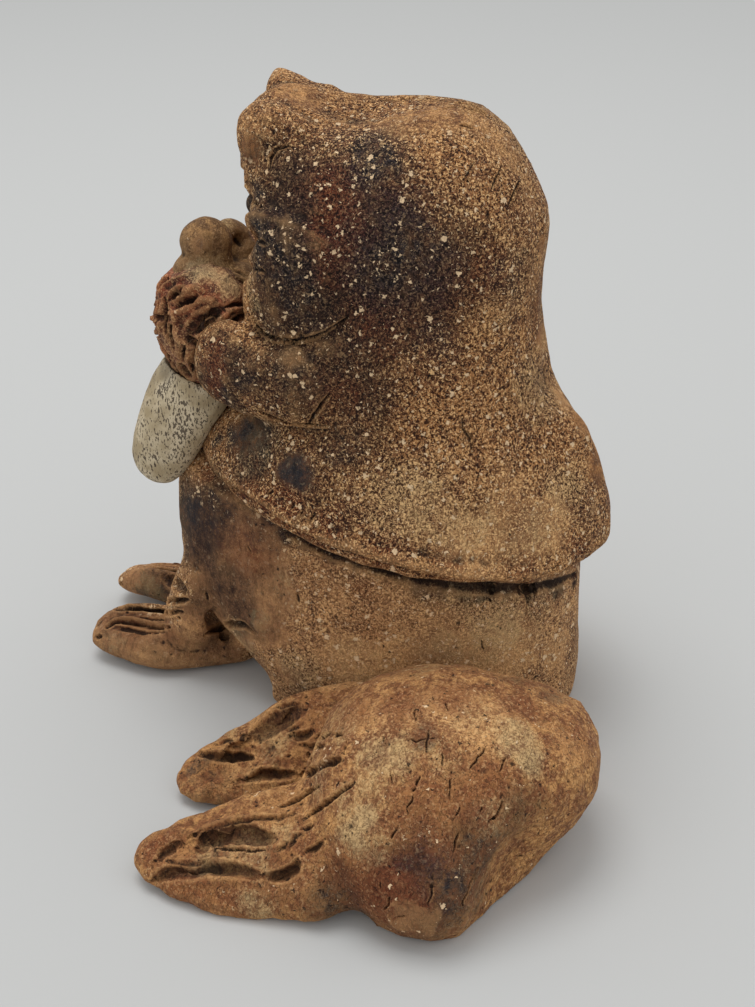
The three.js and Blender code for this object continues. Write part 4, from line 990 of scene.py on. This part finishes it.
# %% Marks on the face
PAD_STROKES = [
    ([(169, 299), (176, 292), (184, 288)], 2.0, 2.6, 0.1, 0.8),
    ([(177, 307), (186, 302), (197, 296)], 2.0, 2.6, 0.1, 0.8),
    ([(186, 333), (195, 326), (203, 320), (211, 315), (221, 309)], 3.4, 3.4, 0.1, 0.7),
    ([(214, 337), (225, 329), (235, 321), (246, 315)], 2.2, 2.6, 0.1, 0.8),
    ([(225, 307), (235, 304), (247, 304)], 1.1, 1.6, 0.1, 1.0),
    ([(184, 336), (190, 341), (197, 343)], 2.2, 2.6, 0.1, 0.8),
    ([(155, 295), (151, 305), (149, 317)], 1.4, 1.7, 0.1, 0.9),
    ([(159, 301), (158, 311), (156, 323)], 1.4, 1.9, 0.1, 0.9),
    ([(164, 298), (165, 308), (164, 321), (165, 333)], 1.4, 2.1, 0.1, 0.9),
    ([(171, 325), (170, 336), (174, 350)], 1.6, 2.0, 0.1, 0.9),
    ([(181, 365), (187, 377), (191, 389)], 2.8, 3.4, 0.1, 0.7),
    ([(170, 360), (176, 368), (181, 377)], 1.8, 2.2, 0.1, 0.9),
    ([(184, 346), (182, 354), (183, 362)], 1.4, 1.8, 0.1, 0.9),
    ([(155, 330), (157, 342), (162, 353)], 1.6, 1.8, 0.1, 0.9),
    ([(194, 350), (192, 360), (193, 370)], 1.3, 1.6, 0.1, 0.9),
    ([(160, 343), (165, 352), (169, 361)], 1.2, 1.5, 0.1, 0.9),
    ([(159, 293), (166, 286), (177, 279), (188, 275)], 1.8, -1.1, 0, 1),
    ([(167, 303), (177, 299), (186, 291), (196, 288), (206, 293)], 1.9, -1.2, 0, 1),
    ([(176, 313), (190, 306), (200, 300), (215, 300)], 2.0, -1.2, 0, 1),
    ([(208, 328), (221, 315), (230, 309), (246, 307)], 1.9, -1.3, 0, 1),
    ([(171, 305), (174, 318), (176, 332), (180, 345)], 1.8, -0.9, 0, 1),
    ([(153, 305), (153, 318), (153, 330)], 1.3, -0.8, 0, 1),
    ([(161, 305), (160, 318), (160, 333)], 1.3, -0.9, 0, 1),
    ([(183, 352), (190, 362), (196, 375)], 1.4, -0.8, 0, 1),
]
FAN_GOUGES = 7
FAN_ROWS = 2


def fan_lines(tree, node, side):
    """Gouges over the front of a pad, which fan out from its middle"""
    low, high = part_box(node)
    centre = (low + high) / 2
    lines = []
    for row in range(FAN_ROWS):
        for i in range(FAN_GOUGES):
            angle = math.radians(-150 + 300 * i / (FAN_GOUGES - 1) + 20 * row)
            spread = Vector((side * math.cos(angle), 0, math.sin(angle)))
            points = []
            for share in np.linspace(0.1 + 0.38 * row, 0.42 + 0.4 * row, 9):
                aim = centre + Vector((spread.x * (high.x - low.x), 0, spread.z * (high.z - low.z))) * share * 0.5
                found = tree.ray_cast(aim - Vector((0, 60 * MM, 0)), Vector((0, 1, 0)))[0]
                if found is not None and found.y < centre.y:
                    points.append(found)
            if len(points) > 3:
                lines.append((np.array(points), 2.2 * MM, 1.9 * MM, 0.1, 1.0))
    return lines


def whisker_pad(word, side):
    pad = clay("gouged_pad_" + word, ["whisker_pad_" + word], 0.36 * MM, heal=1.7 * MM, rounds=3)
    tree = tree_of(pad)
    lines = []
    for pixels, wide, deep, burr, steep in PAD_STROKES:
        left_tree = tree if side > 0 else tree_of(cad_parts["whisker_pad_left"])
        points = line_on(left_tree, pixels)
        if side < 0 and len(points):
            points = np.array([mirrored(tree, Vector(p)) for p in points])
        if len(points) > 1:
            lines.append((points, wide * MM, deep * MM, burr, steep))
    lines += fan_lines(tree, "whisker_pad_" + word, side)
    places, normals = skin_of(pad)
    groove, burrs = press_lines(places, lines, 1.2)
    set_skin(pad, places + normals * (burrs - groove)[:, None])
    remember_cut(pad, groove)
    weather(pad, 0.25, 0.35, 0.14)
    return finished(pad, "pad_clay", "whisker_pad_" + word)


# %% Whisker pads
pads = [whisker_pad("left", 1), whisker_pad("right", -1)]

# %% Muzzle, nose and chin
MUZZLE_STROKES = [
    ([(226, 284), (230, 288), (235, 290)], 2.6, 2.2, 0.3, 0.7),
    ([(238, 279), (243, 284), (247, 289)], 1.8, 1.8, 0.3, 0.8),
    ([(243, 291), (251, 296)], 1.8, 1.6, 0.3, 0.8),
    ([(205, 275), (215, 281), (224, 284)], 1.6, 1.2, 0.3, 0.8),
    ([(214, 290), (222, 296), (231, 299)], 1.6, 1.3, 0.3, 0.8),
    ([(193, 277), (200, 281), (206, 287)], 1.5, 1.2, 0.3, 0.8),
    ([(232, 270), (238, 272), (245, 276)], 1.3, 1.1, 0.3, 0.8),
    ([(214, 268), (220, 273)], 1.3, 1.0, 0.3, 0.8),
]
nose_balls = [
    lump((206, 243), "nose_left", 6.0),
    lump((210, 258), "nose_left", 5.4),
    lump((220, 262), "muzzle", 5.0),
    lump((196, 274), "whisker_pad_left", 5.6, (1.2, 1, 1)),
    lump((216, 284), "whisker_pad_left", 6.4, (1.2, 1, 1)),
    lump((236, 288), "whisker_pad_left", 6.0, (1.2, 1, 1)),
    lump((230, 239), "nose_right", 4.9),
    lump((238, 252), "nose_right", 4.6),
]
muzzle = clay("muzzle_block", ["muzzle"], 0.42 * MM, rounds=6, lumps=nose_balls)
mould(muzzle, [((239, 240), 1.5, -2.4), ((228, 262), 3.0, -0.8), ((216, 252), 2.4, -1.0)])
weather(muzzle, 0.3, 0.25, 0.06)
carve(muzzle, MUZZLE_STROKES, divide=1)
face = [finished(muzzle, "face_clay", "muzzle", "nose_left", "nose_right")]
chin = clay("chin_pad", ["chin"], 0.4 * MM, rounds=6)
weather(chin, 0.2, 0.2, 0.05)
face.append(finished(chin, "face_clay", "chin"))

# %% [markdown]
# ## Tusks and eyes
# The tusks are plain rolls dipped in pale slip, which crawled and left dark dashes where
# the clay shows. The eyes are small balls pressed into their sockets.

# %% Tusks and eyes
tusks, eyes = [], []
for word in ("left", "right"):
    tusk = clay("slip_tusk_" + word, ["tusk_" + word], 0.4 * MM, rounds=24)
    if word == "left":
        push(tusk, [((222, 418), 6, (-0.6, 2.0, 0)), ((163, 470), 8, (0, 0, -2.2))])
    weather(tusk, 0.35, 0.1, 0.03)
    tusks.append(finished(tusk, "tusk_slip", "tusk_" + word))
    ball = clay("eyeball_" + word, ["eye_" + word], 0.25 * MM, rounds=8)
    places, _ = skin_of(ball)
    centre = places.mean(0)
    set_skin(ball, centre + (places - centre) * 0.85 + np.array((0, 1.3, 0)) * MM)
    eyes.append(finished(ball, "eye_clay", "eye_" + word))
    for kind in stains:
        ball.data.attributes.remove(ball.data.attributes[kind])

# %% [markdown]
# ## Stoneware
# The finish is built from the outside of the eye inwards: a mottled ground, stains with
# painted shade and painted light among them, the salt and pepper of the coarse body, pale
# grog grains and painted shade in the hollows. Bump follows the same grain, so that colour
# and relief agree. All sizes are in millimetres.


# %% Node helpers
def shader(tree, kind, inputs=None, **settings):
    """Adds a shader node; an input that is another node's socket is linked, others are set"""
    made = tree.nodes.new("ShaderNode" + kind)
    for key, value in settings.items():
        setattr(made, key, value)
    for key, value in (inputs or {}).items():
        if isinstance(value, bpy.types.NodeSocket):
            tree.links.new(value, made.inputs[key])
        else:
            made.inputs[key].default_value = value
    return made


def srgb(red, green, blue):
    """A colour as a paint program gives it, from 0 to 255, for a shader"""
    def linear(value):
        value /= 255
        return value / 12.92 if value < 0.04045 else ((value + 0.055) / 1.055) ** 2.4
    return (linear(red), linear(green), linear(blue), 1)


def mixed(tree, factor, first, second, blend="MIX"):
    made = shader(tree, "Mix", {0: factor, 6: first, 7: second}, data_type="RGBA", blend_type=blend)
    return made.outputs[2]


def maths(tree, operation, first, second=0.5, third=0.5):
    return shader(tree, "Math", {0: first, 1: second, 2: third}, operation=operation).outputs[0]


def stepped(tree, value, low, high, bottom=0.0, top=1.0):
    """Runs smoothly from bottom to top as the value goes from low to high"""
    made = shader(
        tree, "MapRange", {0: value, 1: low, 2: high, 3: bottom, 4: top}, interpolation_type="SMOOTHSTEP"
    )
    return made.outputs[0]


def speckle(tree, vector, spacing, size, share):
    """Grains: cells of the given spacing in mm, of which a share holds a grain of up to size mm"""
    cells = shader(tree, "TexVoronoi", {"Vector": vector, "Scale": 1 / spacing, "Randomness": 1.0})
    parts = shader(tree, "SeparateColor", {0: cells.outputs["Color"]})
    radius = maths(tree, "MULTIPLY", parts.outputs[0], size / spacing / 2)
    chosen = maths(tree, "LESS_THAN", parts.outputs[1], share)
    edge = maths(tree, "SUBTRACT", maths(tree, "ADD", radius, 0.05), cells.outputs["Distance"])
    return maths(tree, "MULTIPLY", stepped(tree, edge, 0.0, 0.07), chosen)


# %% Stoneware material
CREAM = srgb(240, 208, 166)
# The umber and smoke colours also paint shade, and the worn and bloom colours also paint light, where their patches
# lie.
UMBER_AND_SHADE_COLOUR = srgb(62, 38, 27)
SMOKE_AND_SHADE_COLOUR = srgb(40, 42, 48)
RUST_COLOUR = srgb(116, 54, 27)
BLOOM_AND_LIT_COLOUR = srgb(188, 166, 122)
WORN_AND_LIT_COLOUR = srgb(220, 170, 114)
SALT = srgb(240, 196, 138)
DARK = srgb(34, 20, 13)
SHADOW = srgb(98, 80, 72)


def stoneware(name, light, deep, grog=0.5, sand=0.6, pits=0.4, smooth=0.0, wrinkles=0.5, size=0.5):
    """A coarse grogged body. light and deep are its ground colours. grog and pits are how many
    pale grains and dark pits show, sand how strong its salt-and-pepper is, of a size in mm, and
    wrinkles how much the skin was dragged"""
    material = bpy.data.materials.new(name)
    material.use_nodes = True
    tree = material.node_tree
    tree.nodes.clear()
    place = shader(tree, "TexCoord").outputs["Object"]
    mm = shader(tree, "Mapping", {"Vector": place, "Scale": (1000, 1000, 1000)}).outputs[0]
    drawn = shader(tree, "Mapping", {"Vector": place, "Scale": (1000, 1000, 420)}).outputs[0]
    wander = shader(tree, "TexNoise", {"Vector": mm, "Scale": 1.5, "Detail": 1.5})
    offset = shader(tree, "VectorMath", {0: wander.outputs["Color"], 1: (0.5, 0.5, 0.5)}, operation="SUBTRACT")
    push = shader(tree, "VectorMath", {0: offset.outputs[0], "Scale": 1.5}, operation="SCALE")
    bent = shader(tree, "VectorMath", {0: mm, 1: push.outputs[0]}, operation="ADD").outputs[0]

    def field(size, detail=3.0, rough=0.6, vector=mm):
        return shader(
            tree, "TexNoise", {"Vector": vector, "Scale": 1 / size, "Detail": detail, "Roughness": rough}
        ).outputs[0]

    def stain(kind):
        return shader(tree, "Attribute", attribute_name=kind).outputs["Fac"]

    broad = field(10, 4.0, 0.65)
    mottle = field(2.6, 4.0, 0.72)
    grain = field(size, 1.5, 0.5, bent)
    tone = maths(tree, "MULTIPLY_ADD", broad, 0.35, maths(tree, "MULTIPLY", mottle, 0.65))
    ground = mixed(tree, stepped(tree, tone, 0.43, 0.57), deep, light)
    loose = maths(tree, "MULTIPLY_ADD", mottle, 1.6, maths(tree, "MULTIPLY", grain, 1.0))
    ragged = maths(tree, "SUBTRACT", loose, 1.3)

    def stained(base, kind, colour, strength):
        spread = maths(tree, "MULTIPLY", ragged, stepped(tree, stain(kind), 0.02, 0.35))
        amount = maths(tree, "ADD", stain(kind), spread)
        return mixed(tree, stepped(tree, amount, 0.05, 1.1, 0.0, strength), base, colour)

    # Stain layers. Umber and smoke also carry painted shade under the hem and along the rump's seam, and worn and bloom
    # carry painted light on the bottom of the torso.
    ground = stained(ground, "umber_and_shade", UMBER_AND_SHADE_COLOUR, 1.0)
    ground = stained(ground, "worn_and_lit", WORN_AND_LIT_COLOUR, 0.8)
    ground = stained(ground, "rust", RUST_COLOUR, 0.7)
    ground = stained(ground, "bloom_and_lit", BLOOM_AND_LIT_COLOUR, 0.6)
    ground = stained(ground, "smoke_and_shade", SMOKE_AND_SHADE_COLOUR, 0.95)

    rough_skin = stepped(tree, stain("slick"), 0.2, 0.8, 1.0, 0.12)
    bare = maths(tree, "MULTIPLY", rough_skin, stepped(tree, stain("umber_and_shade"), 0.3, 1.0, 1.0, 0.22))
    shade = mixed(tree, 1.0, ground, SHADOW, "MULTIPLY")
    pepper = maths(tree, "MULTIPLY", stepped(tree, grain, 0.5, 0.4), rough_skin)
    # Fewer dark grains under the worn patches, which is part of the painted light on the bottom of the torso.
    pepper = maths(tree, "MULTIPLY", pepper, stepped(tree, stain("worn_and_lit"), 0.2, 0.8, 1.0, 0.35))
    salt = maths(tree, "MULTIPLY", stepped(tree, grain, 0.54, 0.66), bare)
    ground = mixed(tree, maths(tree, "MULTIPLY", pepper, sand), ground, shade)
    ground = mixed(tree, maths(tree, "MULTIPLY", salt, sand * 0.85), ground, SALT)

    smears = maths(tree, "MULTIPLY", stepped(tree, field(1.4, 4.0, 0.7, drawn), 0.52, 0.36), stain("slick"))
    ground = mixed(tree, maths(tree, "MULTIPLY", smears, 0.45), ground, shade)
    folds = field(0.8, 2.0, 0.5, drawn)
    ridge = maths(tree, "ABSOLUTE", maths(tree, "SUBTRACT", folds, 0.5))
    crease = stepped(tree, ridge, 0.03, 0.0)
    ground = mixed(tree, maths(tree, "MULTIPLY", crease, wrinkles * 0.6), ground, shade)

    large = speckle(tree, bent, 2.4, 1.3, 0.45 * grog)
    medium = speckle(tree, bent, 1.5, 0.9, 0.5 * grog)
    small = speckle(tree, bent, 0.8, 0.42, 0.4 * grog)
    grains = maths(tree, "MAXIMUM", maths(tree, "MAXIMUM", large, medium), small)
    grains = maths(tree, "MULTIPLY", grains, rough_skin)
    ground = mixed(tree, maths(tree, "MULTIPLY", grains, 0.9), ground, CREAM)
    holes = speckle(tree, bent, 1.8, 0.7, 0.4 * pits)
    ground = mixed(tree, maths(tree, "MULTIPLY", holes, 0.85), ground, DARK)

    # Painted shade: the hollows and the bottoms of cuts are darkened.
    ground = mixed(tree, stepped(tree, stain("hollow"), 0.12, 0.9, 0.0, 0.88), ground, DARK)
    ground = mixed(tree, stepped(tree, stain("proud"), 0.2, 0.9, 0.0, 0.25), ground, WORN_AND_LIT_COLOUR)

    height = maths(tree, "MULTIPLY", grain, 1.0)
    height = maths(tree, "MULTIPLY_ADD", grains, 0.3, height)
    height = maths(tree, "MULTIPLY_ADD", crease, -0.3 * wrinkles, height)
    height = maths(tree, "MULTIPLY_ADD", holes, -0.5, height)
    bump = shader(tree, "Bump", {"Strength": 0.8 - 0.4 * smooth, "Distance": 0.0008, "Height": height})
    rough = stepped(tree, mottle, 0.3, 0.7, 0.82 - 0.15 * smooth, 0.97)
    surface = shader(
        tree, "BsdfPrincipled", {"Base Color": ground, "Roughness": rough, "Normal": bump.outputs[0]}
    )
    surface.inputs["Specular IOR Level"].default_value = 0.3
    shader(tree, "OutputMaterial", {0: surface.outputs[0]})
    return material


def coat(piece, material):
    piece.data.materials.clear()
    piece.data.materials.append(material)


# %% Finishes
head_clay = stoneware("coarse_head_clay", srgb(174, 122, 74), srgb(134, 88, 54), grog=1.0, sand=1.0, wrinkles=0.8)
body_clay = stoneware("sandy_body_clay", srgb(202, 150, 100), srgb(160, 114, 76), grog=1.2, sand=0.85, wrinkles=0.5)
rump_clay = stoneware(
    "rubbed_rump_clay", srgb(194, 142, 88), srgb(140, 90, 54), grog=0.15, sand=0.32, pits=1.8, smooth=0.2, wrinkles=1.0, size=0.7
)
pad_clay = stoneware("red_pad_clay", srgb(176, 102, 72), srgb(104, 64, 48), grog=0.05, sand=0.5, smooth=0.2)
face_clay = stoneware("olive_face_clay", srgb(158, 120, 76), srgb(112, 80, 50), grog=0.05, sand=0.25, smooth=0.4)
coat(head, head_clay)
coat(body, body_clay)
coat(hindquarters, rump_clay)
for pad in pads:
    coat(pad, pad_clay)
for piece in face:
    coat(piece, face_clay)

# %% [markdown]
# ## Slip and eyes
# The slip on the tusks is pale and matte. Its dashes lie along the tusk, so their noise is
# stretched upwards.


# %% Slip and eye finishes
def slip(name):
    material = bpy.data.materials.new(name)
    material.use_nodes = True
    tree = material.node_tree
    tree.nodes.clear()
    place = shader(tree, "TexCoord").outputs["Object"]
    mm = shader(tree, "Mapping", {"Vector": place, "Scale": (1000, 1000, 1000)}).outputs[0]
    long = shader(
        tree, "Mapping", {"Vector": place, "Scale": (1000, 1000, 430), "Rotation": (-0.5, 0, 0)}
    ).outputs[0]
    patch = shader(tree, "TexNoise", {"Vector": mm, "Scale": 0.16, "Detail": 3.0}).outputs[0]
    dash = shader(tree, "TexNoise", {"Vector": long, "Scale": 2.2, "Detail": 2.0, "Roughness": 0.6}).outputs[0]
    specks = speckle(tree, long, 0.9, 0.55, 0.4)
    cream = mixed(tree, stepped(tree, patch, 0.35, 0.65), srgb(166, 148, 116), srgb(210, 194, 164))
    bare = stepped(tree, maths(tree, "MULTIPLY_ADD", patch, 0.5, dash), 0.81, 0.85)
    bare = maths(tree, "MAXIMUM", bare, specks)
    colour = mixed(tree, maths(tree, "MULTIPLY", bare, 0.85), cream, srgb(58, 44, 34))
    colour = mixed(tree, stepped(tree, shader(tree, "Attribute", attribute_name="smoke_and_shade").outputs["Fac"], 0.1, 1, 0, 0.6), colour, SMOKE_AND_SHADE_COLOUR)
    bump = shader(tree, "Bump", {"Strength": 0.4, "Distance": 0.0004, "Height": maths(tree, "SUBTRACT", dash, bare)})
    surface = shader(tree, "BsdfPrincipled", {"Base Color": colour, "Normal": bump.outputs[0]})
    surface.inputs["Roughness"].default_value = 0.7
    surface.inputs["Specular IOR Level"].default_value = 0.35
    shader(tree, "OutputMaterial", {0: surface.outputs[0]})
    return material


tusk_slip = slip("pale_slip")
eye_clay = stoneware("dark_eye_clay", srgb(64, 48, 40), srgb(44, 34, 28), grog=0.0, sand=0.2, smooth=0.8)
for tusk in tusks:
    coat(tusk, tusk_slip)
for ball in eyes:
    coat(ball, eye_clay)
print("finishes", [material.name for material in bpy.data.materials])

# %% [markdown]
# ## Floor and light
# A wide pale floor fills the picture, and its own grey is the background. A large lamp
# overhead gives the soft shadow under the clay, and the sky fills the rest, so that a
# colour renders about as it is written.

# %% Floor and light
FLOOR_GREY = srgb(190, 191, 190)
WALL_GREY = srgb(177, 178, 177)
SKY = 0.85
LAMP_POWER = 5.2

bpy.ops.mesh.primitive_plane_add(size=6)
floor = bpy.context.object
floor.name = "floor"
floor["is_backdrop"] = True
paper = bpy.data.materials.new("paper")
paper.use_nodes = True
paper_surface = paper.node_tree.nodes["Principled BSDF"]
paper_surface.inputs["Base Color"].default_value = FLOOR_GREY
paper_surface.inputs["Roughness"].default_value = 1.0
paper_surface.inputs["Specular IOR Level"].default_value = 0.0
coat(floor, paper)

world = bpy.data.worlds.new("studio")
bpy.context.scene.world = world
world.use_nodes = True
sky = world.node_tree.nodes["Background"]
sky.inputs["Color"].default_value = (1, 1, 1, 1)
sky.inputs["Strength"].default_value = SKY
wall = shader(world.node_tree, "Background", {"Color": WALL_GREY, "Strength": 1.0})
path = shader(world.node_tree, "LightPath")
seen = maths(world.node_tree, "MAXIMUM", path.outputs["Is Camera Ray"], path.outputs["Is Glossy Ray"])
seen = maths(world.node_tree, "MAXIMUM", seen, path.outputs["Is Transmission Ray"])
both = shader(world.node_tree, "MixShader", {0: seen, 1: sky.outputs[0], 2: wall.outputs[0]})
world.node_tree.links.new(both.outputs[0], world.node_tree.nodes["World Output"].inputs[0])

bpy.ops.object.light_add(type="AREA", location=(-0.12, -0.2, 1.15))
lamp = bpy.context.object
lamp.data.shape = "DISK"
lamp.data.size = 0.7
lamp.data.energy = LAMP_POWER
lamp.rotation_mode = "QUATERNION"
lamp.rotation_quaternion = (Vector((0, 0, 0.05)) - lamp.location).to_track_quat("-Z", "Y")

# %% Size and finish
bpy.context.scene.view_settings.view_transform = "Standard"
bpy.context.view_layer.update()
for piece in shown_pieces():
    piece.data.calc_loop_triangles()
    print(piece.name, len(piece.data.loop_triangles), "triangles")
